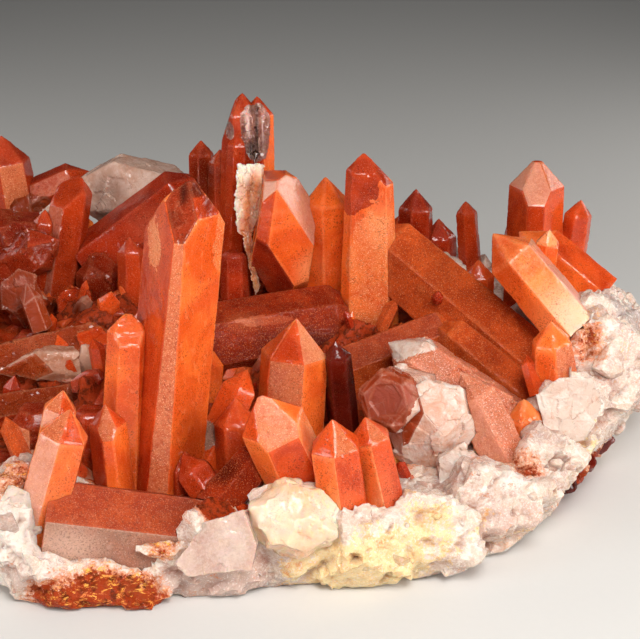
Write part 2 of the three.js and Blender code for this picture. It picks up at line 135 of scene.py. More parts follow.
def cell_numbers(cells: Array, seed: int, channels: int = 1) -> Array:
    """Random numbers from 0 to 1 that belong to whole-number cells.

    The three indices are each multiplied by a large odd number and combined bit by
    bit with the seed; shifts and products then mix the bits, and the result is
    divided by 2 to the 32.

    Args:
        cells: Whole numbers, shape (n, 3).
        seed: Picks one of many unrelated fields.
        channels: How many numbers each cell gets.

    Returns:
        Shape (n, channels).
    """
    x, y, z = (cells[:, i].astype(np.int64).astype(np.uint32) for i in range(3))
    start = np.uint32(seed * 2654435761 & 0xFFFFFFFF)
    mixed = x * np.uint32(73856093) ^ y * np.uint32(19349663) ^ z * np.uint32(83492791) ^ start
    out = []
    for channel in range(channels):
        k = mixed + np.uint32(channel * 0x9E3779B9 & 0xFFFFFFFF)
        k ^= k >> np.uint32(16)
        k *= np.uint32(0x7FEB352D)
        k ^= k >> np.uint32(15)
        k *= np.uint32(0x846CA68B)
        k ^= k >> np.uint32(16)
        out.append(k.astype(float) / 2**32)
    return np.stack(out, axis=1)


def cloud(points: Array, size: float, seed: int) -> Array:
    """A smooth random field from -1 to 1.

    The random numbers at the eight corners of a cube of side `size` are mixed with
    the weights t * t * (3 - 2 * t), where t is the place inside the cube.

    Args:
        points: Where to read the field, shape (n, 3).
        size: The side of a cube.
        seed: Picks the field.

    Returns:
        Shape (n,).
    """
    place = points / size
    base = np.floor(place)
    inner = place - base
    weight = inner * inner * (3 - 2 * inner)
    total = np.zeros(len(points))
    for corner in itertools.product((0, 1), repeat=3):
        share = np.prod(np.where(corner, weight, 1 - weight), axis=1)
        total += share * cell_numbers(base + corner, seed)[:, 0]
    return 2 * total - 1


def clouds(points: Array, size: float, seed: int, octaves: int = 4) -> Array:
    """Several smooth fields added up, each half the size and half the height of the last.

    Args:
        points: Where to read the field, shape (n, 3).
        size: The size of the largest one.
        seed: Picks the fields.
        octaves: How many are added.

    Returns:
        Shape (n,), about -1 to 1.
    """
    total = sum(cloud(points, size / 2**i, seed + i) / 2**i for i in range(octaves))
    return total / 1.6


def chips(points: Array, size: float, seed: int) -> tuple[Array, Array]:
    """The relief of broken stone: flat, randomly tilted facets that meet in edges.

    Each cube of side `size` holds one centre at a random place. A point belongs to
    the nearest centre, and its height is the dot product of that centre's random
    tilt with the way from the centre to the point, divided by the size.

    Args:
        points: Where to read the relief, shape (n, 3).
        size: The distance between centres, about a facet's width.
        seed: Picks the relief.

    Returns:
        The height, about -0.5 to 0.5, and the way to the facet's border, 0 at the border.
    """
    place = points / size
    base = np.floor(place)
    nearest = np.full(len(points), np.inf)
    second = np.full(len(points), np.inf)
    height = np.zeros(len(points))
    for corner in itertools.product((-1, 0, 1), repeat=3):
        cell = base + corner
        numbers = cell_numbers(cell, seed, 6)
        way = place - (cell + numbers[:, :3])
        distance = np.linalg.norm(way, axis=1)
        tilted = ((numbers[:, 3:] - 0.5) * 2 * way).sum(axis=1)
        closer = distance < nearest
        second = np.where(closer, nearest, np.minimum(second, distance))
        height = np.where(closer, tilted, height)
        nearest = np.where(closer, distance, nearest)
    return height, second - nearest


# ---------------------------------------------------------------- meshes as arrays


@dataclass
class Shell:
    """A closed skin of triangles, in millimetres.

    Attributes:
        points: Corners, shape (n, 3).
        faces: Corner numbers of the triangles, shape (m, 3).
        tags: A whole number on each triangle, which picks its finish.
    """

    points: Array
    faces: Array
    tags: Array

    @staticmethod
    def from_object(obj: Piece) -> Shell:
        """Reads an object's mesh with its modifiers, joins equal corners and drops slivers.

        Args:
            obj: The object.

        Returns:
            Its skin.
        """
        graph = bpy.context.evaluated_depsgraph_get()
        evaluated = obj.evaluated_get(graph)
        mesh = evaluated.to_mesh()
        mesh.calc_loop_triangles()
        points = np.zeros(len(mesh.vertices) * 3)
        mesh.vertices.foreach_get("co", points)
        faces = np.zeros(len(mesh.loop_triangles) * 3, int)
        mesh.loop_triangles.foreach_get("vertices", faces)
        evaluated.to_mesh_clear()
        points = points.reshape(-1, 3) / MM
        keys = np.round(points / JOIN_STEP).astype(np.int64)
        _, first, number = np.unique(keys, axis=0, return_index=True, return_inverse=True)
        faces = number.reshape(-1)[faces].reshape(-1, 3)
        whole = (faces[:, 0] != faces[:, 1]) & (faces[:, 1] != faces[:, 2]) & (faces[:, 2] != faces[:, 0])
        faces = faces[whole]
        return Shell(points[first], faces, np.zeros(len(faces), int))

    def face_normals(self) -> Array:
        """Unit normals of the triangles, by the cross product of two sides.

        Returns:
            Shape (m, 3).
        """
        a, b, c = (self.points[self.faces[:, i]] for i in range(3))
        across = np.cross(b - a, c - a)
        return across / np.maximum(np.linalg.norm(across, axis=1, keepdims=True), TINY)

    def normals(self) -> Array:
        """Unit normals of the corners: the sum of the cross products of the triangles around each.

        Returns:
            Shape (n, 3).
        """
        a, b, c = (self.points[self.faces[:, i]] for i in range(3))
        across = np.cross(b - a, c - a)
        total = np.zeros_like(self.points)
        for i, axis in itertools.product(range(3), range(3)):
            total[:, axis] += np.bincount(self.faces[:, i], across[:, axis], len(self.points))
        return total / np.maximum(np.linalg.norm(total, axis=1, keepdims=True), TINY)

    def edges(self) -> tuple[Array, Array]:
        """The edges, each once.

        Returns:
            Corner numbers, shape (k, 2), and each triangle's three edge numbers, shape (m, 3).
        """
        pairs = np.concatenate([self.faces[:, [0, 1]], self.faces[:, [1, 2]], self.faces[:, [2, 0]]])
        ordered = np.sort(pairs, axis=1)
        codes = ordered[:, 0].astype(np.int64) * len(self.points) + ordered[:, 1]
        _, first, number = np.unique(codes, return_index=True, return_inverse=True)
        return ordered[first], number.reshape(3, -1).T

    def refined(self, longest: float) -> Shell:
        """Splits edges at their middles until none is longer than `longest`.

        Only an edge that is the longest of one of its triangles is split, so the
        triangles stay well shaped. A triangle with one, two or three split edges
        becomes two, three or four.

        Args:
            longest: The longest edge that is left.

        Returns:
            The finer skin, with each new triangle's tag taken from the old one.
        """
        shell = self
        for _ in range(MOST_ROUNDS):
            edges, of_face = shell.edges()
            length = np.linalg.norm(shell.points[edges[:, 0]] - shell.points[edges[:, 1]], axis=1)
            widest = of_face[np.arange(len(of_face)), length[of_face].argmax(axis=1)]
            split = np.zeros(len(edges), bool)
            split[widest] = True
            split &= length > longest
            if not split.any():
                break
            middle = np.full(len(edges), -1)
            middle[split] = len(shell.points) + np.arange(split.sum())
            points = np.concatenate([shell.points, shell.points[edges[split]].mean(axis=1)])
            faces, tags = Shell._divided(shell.faces, shell.tags, middle[of_face])
            shell = Shell(points, faces, tags)
        return shell

    @staticmethod
    def _divided(faces: Array, tags: Array, middle: Array) -> tuple[Array, Array]:
        """Cuts triangles at the middles of their marked edges.

        Args:
            faces: Corner numbers, shape (m, 3).
            tags: A number on each triangle.
            middle: The new corner on each side ab, bc and ca, or -1 where it isn't cut.

        Returns:
            The new triangles and their tags.
        """
        marked = middle >= 0
        count = marked.sum(axis=1)
        turn = np.where(count == 1, marked.argmax(axis=1), 0)
        turn = np.where(count == 2, ((~marked).argmax(axis=1) + 1) % 3, turn)
        order = (turn[:, None] + np.arange(3)) % 3
        a, b, c = np.take_along_axis(faces, order, axis=1).T
        ab, bc, ca = np.take_along_axis(middle, order, axis=1).T
        none, one, two, three = (count == k for k in range(4))
        parts = [
            (none, (a, b, c)),
            (one, (a, ab, c)),
            (one, (ab, b, c)),
            (two, (a, ab, c)),
            (two, (ab, bc, c)),
            (two, (ab, b, bc)),
            (three, (a, ab, ca)),
            (three, (ab, b, bc)),
            (three, (ca, bc, c)),
            (three, (ab, bc, ca)),
        ]
        corners = [np.stack([corner[mask] for corner in trio], axis=1) for mask, trio in parts]
        return np.concatenate(corners), np.concatenate([tags[mask] for mask, _ in parts])

    def crests(self, least: float = 14.0) -> Array:
        """How sharp the solid's edge is at each corner: 1 on outer edges, -1 in inner ones, else 0.

        Args:
            least: The smallest turn between two faces that counts as an edge, in degrees.

        Returns:
            Shape (n,).
        """
        edges, of_face = self.edges()
        normal = self.face_normals()
        centre = self.points[self.faces].mean(axis=1)
        owner = np.repeat(np.arange(len(self.faces)), 3)
        number = of_face.reshape(-1)
        order = np.argsort(number, kind="stable")
        number, owner = number[order], owner[order]
        pair = np.nonzero(number[1:] == number[:-1])[0]
        one, two = owner[pair], owner[pair + 1]
        turned = (normal[one] * normal[two]).sum(axis=1) < math.cos(math.radians(least))
        outer = ((centre[two] - centre[one]) * normal[one]).sum(axis=1) < 0
        ends = edges[number[pair]]
        out = np.zeros(len(self.points))
        out[ends[turned & ~outer].reshape(-1)] = -1
        out[ends[turned & outer].reshape(-1)] = 1
        return out

    def spread(self, values: Array, rounds: int) -> Array:
        """Blurs a number on the corners: each becomes the mean of its neighbours.

        Args:
            values: The numbers, shape (n,).
            rounds: How many times this is done.

        Returns:
            The blurred numbers, shape (n,).
        """
        edges, _ = self.edges()
        both = np.concatenate([edges, edges[:, ::-1]])
        count = np.maximum(np.bincount(both[:, 0], minlength=len(self.points)), 1)
        for _ in range(rounds):
            values = np.bincount(both[:, 0], values[both[:, 1]], len(self.points)) / count
        return values

    def pushed(self, amount: Array, blur: int = 0) -> Shell:
        """Moves every corner along its normal.

        Args:
            amount: How far, outwards, for each corner.
            blur: How many times the normals are averaged with their neighbours first.

        Returns:
            The moved skin.
        """
        normal = self.normals()
        if blur:
            normal = np.stack([self.spread(normal[:, i], blur) for i in range(3)], axis=1)
            normal /= np.maximum(np.linalg.norm(normal, axis=1, keepdims=True), TINY)
        return Shell(self.points + normal * amount[:, None], self.faces, self.tags)

    def object(
        self,
        name: str,
        materials: list[Material],
        marks: dict[str, Array] | None = None,
        crease: float | None = 22.0,
    ) -> Piece:
        """Makes a Blender object at the origin from the skin.

        Args:
            name: The piece's name.
            materials: One for each tag.
            marks: Numbers on the corners, kept as named attributes for the materials.
            crease: Edges that turn by more degrees than this are drawn sharp; None draws all faces flat.

        Returns:
            The new object, linked to the scene.
        """
        mesh = bpy.data.meshes.new(name)
        mesh.vertices.add(len(self.points))
        mesh.vertices.foreach_set("co", (self.points * MM).astype(np.float32).ravel())
        mesh.loops.add(self.faces.size)
        mesh.loops.foreach_set("vertex_index", self.faces.astype(np.int32).ravel())
        mesh.polygons.add(len(self.faces))
        mesh.polygons.foreach_set("loop_start", np.arange(0, self.faces.size, 3, dtype=np.int32))
        mesh.polygons.foreach_set("material_index", self.tags.astype(np.int32))
        mesh.polygons.foreach_set("use_smooth", np.full(len(self.faces), crease is not None))
        mesh.update(calc_edges=True)
        if crease is not None:
            mesh.set_sharp_from_angle(angle=math.radians(crease))
        for key, values in (marks or {}).items():
            attribute = mesh.attributes.new(key, "FLOAT", "POINT")
            attribute.data.foreach_set("value", values.astype(np.float32))
        for material in materials:
            mesh.materials.append(material)
        mesh.validate()
        obj = bpy.data.objects.new(name, mesh)
        bpy.context.scene.collection.objects.link(obj)
        return obj


def ball(level: int) -> tuple[Array, Array]:
    """Evenly spread directions: an octahedron whose triangles are cut in four `level` times.

    Args:
        level: How often the triangles are cut.

    Returns:
        Unit directions, shape (n, 3), and triangles, shape (8 * 4 ** level, 3).
    """
    points = np.array([[1, 0, 0], [-1, 0, 0], [0, 1, 0], [0, -1, 0], [0, 0, 1], [0, 0, -1]], float)
    faces = np.array([[0, 2, 4], [2, 1, 4], [1, 3, 4], [3, 0, 4], [2, 0, 5], [1, 2, 5], [3, 1, 5], [0, 3, 5]])
    shell = Shell(points, faces, np.zeros(8, int))
    for _ in range(level):
        edges, of_face = shell.edges()
        middle = len(shell.points) + np.arange(len(edges))
        points = np.concatenate([shell.points, shell.points[edges].mean(axis=1)])
        shell = Shell(points, *Shell._divided(shell.faces, shell.tags, middle[of_face]))
    return shell.points / np.linalg.norm(shell.points, axis=1, keepdims=True), shell.faces


def chunks(
    centres: Array, radii: Array, seed: int, level: int = 2, rough: float = 0.4, tumbled: bool = True
) -> tuple[Shell, Array]:
    """Many broken stones at once, each bounded by flat fracture planes.

    A stone's planes look towards the faces, edges and corners of a cube, each shifted a
    little. Its reach in a direction is the smallest of offset / (normal . direction)
    over the planes that look that way. It is stretched by the radii and then tumbled.

    Args:
        centres: The stones' middles, shape (k, 3).
        radii: Their half sizes, shape (k, 3).
        seed: Picks the stones.
        level: How finely each is cut, as in `ball`.
        rough: How unevenly far out the planes stand, from 0 to 1.
        tumbled: Whether each is turned at random.

    Returns:
        All the stones as one skin, and the number of each corner's stone.
    """
    rng = np.random.default_rng(seed)
    ways, faces = ball(level)
    count = len(centres)
    cube = np.array([way for way in itertools.product((-1, 0, 1), repeat=3) if any(way)], float)
    cube /= np.linalg.norm(cube, axis=1, keepdims=True)
    turns, _ = np.linalg.qr(rng.normal(size=(2, count, 3, 3)))
    turns[:, :, :, 0] *= np.linalg.det(turns)[:, :, None]
    normals = np.einsum("kxy,py->kpx", turns[0], cube) + 0.12 * rng.normal(size=(count, len(cube), 3))
    normals /= np.linalg.norm(normals, axis=2, keepdims=True)
    offsets = 1 - rough * rng.random((count, len(cube)))
    facing = np.einsum("kpx,dx->kpd", normals, ways)
    reach = np.where(facing > 0.05, offsets[:, :, None] / np.maximum(facing, 0.05), 9.0).min(axis=1)
    local = ways[None] * reach[:, :, None] * radii[:, None, :]
    if tumbled:
        local = np.einsum("kxy,kdy->kdx", turns[1], local)
    points = local + centres[:, None, :]
    number = np.repeat(np.arange(count), len(ways))
    all_faces = (faces[None] + len(ways) * np.arange(count)[:, None, None]).reshape(-1, 3)
    return Shell(points.reshape(-1, 3), all_faces, np.zeros(len(all_faces), int)), number


def slabs(outlines: list[Array], ways: list[Array], shrink: float = 0.8) -> Shell:
    """Flat broken pieces: a many-sided face, and a smaller one behind it.

    Each ring of corners gets a fan to its own middle; the back ring is the front one
    drawn in towards its middle and moved along the piece's way.

    Args:
        outlines: The corners round each front face, shape (n, 3) each.
        ways: From each front face to its back.
        shrink: The back face's size over the front's.

    Returns:
        All the pieces as one closed skin, tagged by piece.
    """
    points, faces, tags, start = [], [], [], 0
    for number, (ring, way) in enumerate(zip(outlines, ways)):
        count = len(ring)
        middle = ring.mean(axis=0)
        facing = np.cross(ring - middle, np.roll(ring, -1, axis=0) - middle).sum(axis=0)
        ring = ring if facing @ way < 0 else ring[::-1]
        back = middle + (ring - middle) * shrink + way
        points.append(np.concatenate([ring, back, [middle], [middle + way]]))
        a = np.arange(count)
        b = (a + 1) % count
        fans = [
            (a, b, np.full(count, 2 * count)),
            (b, a, a + count),
            (b, a + count, b + count),
            (b + count, a + count, np.full(count, 2 * count + 1)),
        ]
        faces.append(np.concatenate([np.stack(fan, axis=1) for fan in fans]) + start)
        tags.append(np.full(4 * count, number))
        start += 2 * count + 2
    return Shell(np.concatenate(points), np.concatenate(faces), np.concatenate(tags))


def small_crystals(roots: Array, axes: Array, sizes: Array, seed: int) -> Shell:
    """Many small quartz crystals at once: six sides that close in a point a little off the middle.

    A ring is width * (cos a, sin a) at six angles a, carried from the root to the shoulder.
    The shoulder of each side is raised or lowered a little, so the end faces differ.

    Args:
        roots: Where they start, shape (k, 3).
        axes: Unit directions that they grow in, shape (k, 3).
        sizes: Half width and length, shape (k, 2).
        seed: Picks the small differences.

    Returns:
        All the crystals as one closed skin, tagged by crystal.
    """
    rng = np.random.default_rng(seed)
    count, sides = len(roots), 6
    corners_each = 2 * sides + 2
    helper = np.where(np.abs(axes[:, 2:]) < 0.9, [[0.0, 0.0, 1.0]], [[1.0, 0.0, 0.0]])
    right = np.cross(helper, axes)
    right /= np.linalg.norm(right, axis=1, keepdims=True)
    front = np.cross(axes, right)
    angle = rng.random((count, 1)) * np.pi + np.arange(sides) * np.pi / 3
    width = sizes[:, :1] * (0.8 + 0.4 * rng.random((count, sides)))
    ring = right[:, None] * (np.cos(angle) * width)[..., None] + front[:, None] * (np.sin(angle) * width)[..., None]
    length = sizes[:, 1]
    shoulder = (length - sizes[:, 0] * 1.3)[:, None] + sizes[:, :1] * 0.7 * (rng.random((count, sides)) - 0.5)
    low = roots[:, None] + ring
    high = roots[:, None] + ring * 0.94 + axes[:, None] * shoulder[..., None]
    shift = (rng.random((count, 2)) - 0.5) * sizes[:, :1] * 0.6
    tip = roots + axes * length[:, None] + right * shift[:, :1] + front * shift[:, 1:]
    points = np.concatenate([low, high, tip[:, None], roots[:, None]], axis=1)
    a = np.arange(sides)
    b = (a + 1) % sides
    faces = np.concatenate(
        [
            np.stack([a, b, b + sides], axis=1),
            np.stack([a, b + sides, a + sides], axis=1),
            np.stack([a + sides, b + sides, np.full(sides, corners_each - 2)], axis=1),
            np.stack([b, a, np.full(sides, corners_each - 1)], axis=1),
        ]
    )
    all_faces = (faces[None] + corners_each * np.arange(count)[:, None, None]).reshape(-1, 3)
    return Shell(points.reshape(-1, 3), all_faces, np.repeat(np.arange(count), len(faces)))


def voxel_skin(shell: Shell, size: float) -> Shell:
    """Covers a solid with an even skin of small squares, each cut into two triangles.

    Args:
        shell: The solid.
        size: The side of a square.

    Returns:
        The new skin.
    """
    blank = bpy.data.materials.new("blank")
    obj = shell.object("voxels", [blank], crease=None)
    remesh = obj.modifiers.new("even", "REMESH")
    remesh.mode = "VOXEL"
    remesh.voxel_size = size * MM
    remesh.adaptivity = 0
    out = Shell.from_object(obj)
    mesh = obj.data
    bpy.data.objects.remove(obj)
    bpy.data.meshes.remove(mesh)
    bpy.data.materials.remove(blank)
    return out


# ---------------------------------------------------------------- finishes


class Graph:
    """Builds one material's nodes, with sizes in millimetres on Object coordinates."""

    def __init__(self, name: str) -> None:
        """Starts an empty material called `name`."""
        self.material = bpy.data.materials.new(name)
        self.material.use_nodes = True
        self.tree = self.material.node_tree
        self.tree.nodes.clear()
        self.place = self.add("ShaderNodeTexCoord").outputs["Object"]

    def add(self, kind: str, **settings: object) -> bpy.types.Node:
        """Adds a node.

        Args:
            kind: The node's type.
            **settings: Its own properties.

        Returns:
            The node.
        """
        node = self.tree.nodes.new(kind)
        for key, value in settings.items():
            setattr(node, key, value)
        return node

    def put(self, socket: Socket, value: object) -> None:
        """Links a socket into an input, or sets the input to a constant.

        Args:
            socket: The input.
            value: A socket, a number or a colour.
        """
        if isinstance(value, Socket):
            self.tree.links.new(value, socket)
        elif isinstance(value, tuple) and len(value) == 3 and len(socket.default_value) == 4:
            socket.default_value = (*value, 1.0)
        else:
            socket.default_value = value

    def stretched(self, scale: Point, turn: Point = (0.0, 0.0, 0.0)) -> Socket:
        """Object coordinates turned and then stretched, for drawn-out patterns.

        Args:
            scale: The factor along each axis; below 1 draws a pattern out.
            turn: The turn about each axis in degrees.

        Returns:
            The new coordinates.
        """
        node = self.add("ShaderNodeMapping", vector_type="POINT")
        self.put(node.inputs["Vector"], self.place)
        node.inputs["Rotation"].default_value = tuple(math.radians(t) for t in turn)
        node.inputs["Scale"].default_value = scale
        return node.outputs[0]

    def noise(
        self, size: float, detail: float = 3.0, rough: float = 0.5, place: Value | None = None, twist: float = 0.0
    ) -> Socket:
        """A cloudy pattern around 0.5.

        Args:
            size: About how wide its blots are.
            detail: How many finer patterns are laid over it.
            rough: How strong the finer ones are.
            place: The coordinates, if not the object's own.
            twist: How far it is distorted.

        Returns:
            The pattern.
        """
        node = self.add("ShaderNodeTexNoise")
        self.put(node.inputs["Vector"], place or self.place)
        node.inputs["Scale"].default_value = 1 / (size * MM)
        node.inputs["Detail"].default_value = detail
        node.inputs["Roughness"].default_value = rough
        node.inputs["Distortion"].default_value = twist
        return node.outputs[0]

    def borders(self, size: float) -> Socket:
        """How far it is to the nearest border between scattered cells.

        Args:
            size: About how wide a cell is.

        Returns:
            The way, 0 on a border.
        """
        node = self.add("ShaderNodeTexVoronoi", feature="DISTANCE_TO_EDGE")
        self.put(node.inputs["Vector"], self.place)
        node.inputs["Scale"].default_value = 1 / (size * MM)
        return node.outputs["Distance"]

    def mark(self, name: str) -> Socket:
        """A number that the mesh carries on its corners."""
        return self.add("ShaderNodeAttribute", attribute_name=name, attribute_type="GEOMETRY").outputs["Fac"]

    def step(self, value: Value, low: float, high: float, start: float = 0.0, end: float = 1.0) -> Socket:
        """Goes smoothly from one number to another.

        Args:
            value: What it follows.
            low: Where it begins to change.
            high: Where it is done.
            start: Its number at `low` and below.
            end: Its number at `high` and above.

        Returns:
            The number.
        """
        node = self.add("ShaderNodeMapRange", interpolation_type="SMOOTHSTEP")
        for i, item in enumerate((value, low, high, start, end)):
            self.put(node.inputs[i], item)
        return node.outputs[0]

    def sum(self, operation: str, first: Value, second: Value = 0.0) -> Socket:
        """One step of arithmetic.

        Args:
            operation: Blender's name for it.
            first: The first number.
            second: The second one.

        Returns:
            The result.
        """
        node = self.add("ShaderNodeMath", operation=operation)
        self.put(node.inputs[0], first)
        self.put(node.inputs[1], second)
        return node.outputs[0]

    def mix(self, factor: Value, first: Tint, second: Tint) -> Socket:
        """Mixes two colours.

        Args:
            factor: How much of the second there is, from 0 to 1.
            first: The first colour.
            second: The second one.

        Returns:
            The mixed colour.
        """
        node = self.add("ShaderNodeMix", data_type="RGBA")
        self.put(node.inputs[0], factor)
        self.put(node.inputs[6], first)
        self.put(node.inputs[7], second)
        return node.outputs[2]

    def bump(self, height: Value, depth: float, under: Socket | None = None) -> Socket:
        """Fine relief.

        Args:
            height: The pattern that it follows.
            depth: How deep it is, in millimetres.
            under: Another relief that it lies over.

        Returns:
            The turned normal.
        """
        node = self.add("ShaderNodeBump")
        node.inputs["Strength"].default_value = 1.0
        node.inputs["Distance"].default_value = depth * MM
        self.put(node.inputs["Height"], height)
        if under is not None:
            self.put(node.inputs["Normal"], under)
        return node.outputs[0]

    def finish(self, **inputs: object) -> Material:
        """Ends the tree in a Principled shader.

        Args:
            **inputs: The shader's inputs by name, with _ for spaces.

        Returns:
            The finished material.
        """
        shader = self.add("ShaderNodeBsdfPrincipled")
        for key, value in inputs.items():
            self.put(shader.inputs[key.replace("_", " ")], value)
        output = self.add("ShaderNodeOutputMaterial")
        self.tree.links.new(shader.outputs[0], output.inputs["Surface"])
        return self.material


@dataclass(frozen=True)
class StainedQuartz:
    """Quartz coloured from inside by iron oxide, with a glassy or frosted skin.

    Attributes:
        name: The finish's name.
        deep: The colour where the stain is thick.
        bright: The colour where it is thin.
        veil: The colour of wisps and frost, and of the edges, where it is also a painted highlight.
        frost: How much of the skin is frosted, from 0 to 1.
        speck: How strong the dark specks are.
        sparkle: How many points carry a painted glint, from 0 to 1.
        wisp: How strong the pale wisps inside are.
        glow: How far light goes in and comes out again, from 0 to 1.
        gloss: The roughness of the smooth skin.
        shine: How bright its reflections are.
        reach: How far light travels inside, in millimetres.
    """

    name: str
    deep: Colour
    bright: Colour
    veil: Colour = (0.9, 0.36, 0.17)
    frost: float = 0.0
    speck: float = 0.6
    sparkle: float = 0.15
    wisp: float = 0.35
    glow: float = 0.45
    gloss: float = 0.08
    shine: float = 0.32
    reach: float = 3.0

    def material(self) -> Material:
        """Builds the material.

        Returns:
            Stain clouds, wisps, the marks "pale" and "deep", specks, frost and painted glints,
            over fine relief; "deep" is partly painted shade low in the bed.
        """
        g = Graph(self.name)
        stain = g.step(g.noise(7.0, 3.0, 0.5, twist=0.5), 0.36, 0.64, 0.3, 1.0)
        colour = g.mix(stain, self.deep, self.bright)
        bands = g.step(g.noise(6.0, 3.0, 0.5, g.stretched((1.0, 1.0, 0.3))), 0.5, 0.7, 0.0, 0.35)
        colour = g.mix(bands, colour, self.deep)
        wisps = g.step(g.noise(1.9, 5.0, 0.7, g.stretched((1.0, 1.0, 0.35)), 1.6), 0.55, 0.7, 0.0, self.wisp)
        colour = g.mix(wisps, colour, self.veil)
        colour = g.mix(g.mark("pale"), colour, self.veil)
        # The mark "deep" darkens: a deeper stain, and painted shade low in the bed.
        colour = g.mix(g.mark("deep"), colour, tuple(c * 0.28 for c in self.deep))
        crowd = g.step(g.noise(3.4, 3.0), 0.38, 0.62, 0.25, 1.0)
        grain = g.noise(0.3, 2.0, 0.6)
        specks = g.sum("MULTIPLY", g.step(grain, 0.55, 0.62, 0.0, self.speck), crowd)
        colour = g.mix(specks, colour, tuple(c * 0.3 for c in self.deep))
        frosted = g.sum("MULTIPLY", g.step(g.noise(0.7, 4.0, 0.72), 0.34, 0.66), self.frost)
        # Edges frosted by wear, and lightened as a painted highlight.
        frosted = g.sum("MAXIMUM", frosted, g.sum("MULTIPLY", g.mark("crest"), 0.35))
        colour = g.mix(frosted, colour, self.veil)
        # Painted glints.
        glints = g.step(g.noise(0.17, 1.0, 0.5), 0.6, 0.68, 0.0, self.sparkle)
        colour = g.mix(glints, colour, (0.96, 0.5, 0.28))
        rough = g.step(g.noise(1.4, 3.0), 0.35, 0.7, self.gloss, self.gloss + 0.1)
        rough = g.sum("ADD", rough, g.sum("MULTIPLY", frosted, 0.16))
        relief = g.bump(g.noise(0.5, 3.0, 0.6), 0.022)
        lines = g.noise(1.3, 2.0, 0.5, g.stretched((0.6, 0.6, 3.2)))
        relief = g.bump(lines, 0.035, relief)
        return g.finish(
            Base_Color=colour,
            Roughness=rough,
            IOR=QUARTZ_IOR,
            Normal=relief,
            Specular_IOR_Level=self.shine,
            Subsurface_Weight=self.glow,
            Subsurface_Radius=(1.0, 0.25, 0.08),
            Subsurface_Scale=self.reach * MM,
        )


@dataclass(frozen=True)
class DustedQuartz:
    """Quartz under a patchy skin of iron dust that glitters.

    Attributes:
        name: The finish's name.
        dust: The colour of the dust.
        under: The colour of the quartz where the dust is thin.
        bloom: The colour of the pale bloom on it.
        spark: The colour of its painted glints.
        cover: How much of the quartz the dust hides, from 0 to 1.
        glitter: How strong the painted glints are.
        glow: How far light goes in, from 0 to 1.
    """

    name: str
    dust: Colour
    under: Colour
    bloom: Colour
    spark: Colour = (0.85, 0.3, 0.12)
    cover: float = 0.75
    glitter: float = 0.4
    glow: float = 0.15

    def material(self) -> Material:
        """Builds the material.

        Returns:
            Patchy dust with a bloom and glitter over satin quartz.
        """
        g = Graph(self.name)
        patches = g.step(g.noise(5.5, 4.0, 0.6, twist=0.6), 0.66 - 0.4 * self.cover, 0.84 - 0.3 * self.cover)
        colour = g.mix(patches, self.under, self.dust)
        bloom = g.step(g.noise(1.6, 4.0, 0.7), 0.5, 0.72, 0.0, 0.3)
        colour = g.mix(bloom, colour, self.bloom)
        colour = g.mix(g.mark("pale"), colour, self.bloom)
        # The mark "deep" darkens: a deeper dust, and painted shade low in the bed.
        colour = g.mix(g.mark("deep"), colour, tuple(c * 0.25 for c in self.dust))
        grain = g.noise(0.3, 2.0, 0.7)
        colour = g.mix(g.step(grain, 0.5, 0.64, 0.0, 0.5), colour, tuple(c * 0.35 for c in self.dust))
        # Painted glints.
        glints = g.step(g.noise(0.2, 1.0, 0.5), 0.58, 0.68, 0.0, self.glitter)
        colour = g.mix(glints, colour, self.spark)
        # Edges lightened towards the bloom: wear, and a painted highlight.
        colour = g.mix(g.sum("MULTIPLY", g.mark("crest"), 0.4), colour, self.bloom)
        rough = g.step(grain, 0.4, 0.65, 0.24, 0.44)
        relief = g.bump(grain, 0.04)
        relief = g.bump(g.noise(1.8, 4.0, 0.6), 0.1, relief)
        return g.finish(
            Base_Color=colour,
            Roughness=rough,
            IOR=QUARTZ_IOR,
            Normal=relief,
            Specular_IOR_Level=0.1,
            Subsurface_Weight=self.glow,
            Subsurface_Radius=(1.0, 0.3, 0.12),
            Subsurface_Scale=1.6 * MM,
        )


@dataclass(frozen=True)
class ClearQuartz:
    """Broken glassy quartz with white flaws and a warm cast.

    Attributes:
        name: The finish's name.
        body: The colour of the clear parts.
        flaw: The colour of cracks and cloudy parts.
        stain: The colour of the iron in it.
        clear: How much light goes through.
        gloss: The roughness of its clear parts.
        cloudy: How much of it is clouded, from 0 to 1.
    """

    name: str
    body: Colour
    flaw: Colour
    stain: Colour = (0.5, 0.16, 0.08)
    clear: float = 0.5
    gloss: float = 0.05
    cloudy: float = 0.5

    def material(self) -> Material:
        """Builds the material.

        Returns:
            Clear quartz with flaws, cracks and shell-shaped breaks.
        """
        g = Graph(self.name)
        cloudy = g.step(g.noise(3.0, 6.0, 0.7, twist=0.5), 0.58 - 0.3 * self.cloudy, 0.9 - 0.3 * self.cloudy)
        cracks = g.step(g.borders(2.4), 0.0, 0.05, 1.0, 0.0)
        cracks = g.sum("MULTIPLY", cracks, g.step(g.noise(3.0, 2.0), 0.5, 0.62, 0.0, 0.3))
        flaws = g.sum("MAXIMUM", g.sum("MULTIPLY", cloudy, 0.9), g.sum("MULTIPLY", cracks, 0.8))
        # Edges whitened like flaws: wear, and a painted highlight.
        flaws = g.sum("MAXIMUM", flaws, g.sum("MULTIPLY", g.mark("crest"), 0.4))
        flaws = g.sum("MAXIMUM", flaws, g.mark("pale"))
        colour = g.mix(flaws, self.body, self.flaw)
        colour = g.mix(g.step(g.noise(1.4, 4.0, 0.7), 0.56, 0.72, 0.0, 0.35), colour, self.stain)
        shells = g.noise(1.9, 4.0, 0.6, twist=2.2)
        relief = g.bump(shells, 0.3)
        relief = g.bump(g.noise(0.4, 3.0, 0.7), 0.03, relief)
        return g.finish(
            Base_Color=colour,
            Roughness=g.step(flaws, 0.0, 1.0, self.gloss, self.gloss + 0.14),
            IOR=QUARTZ_IOR,
            Normal=relief,
            Specular_IOR_Level=0.42,
            Subsurface_Weight=0.4,
            Subsurface_Radius=(1.0, 0.6, 0.45),
            Subsurface_Scale=2.0 * MM,
            Transmission_Weight=self.clear,
        )


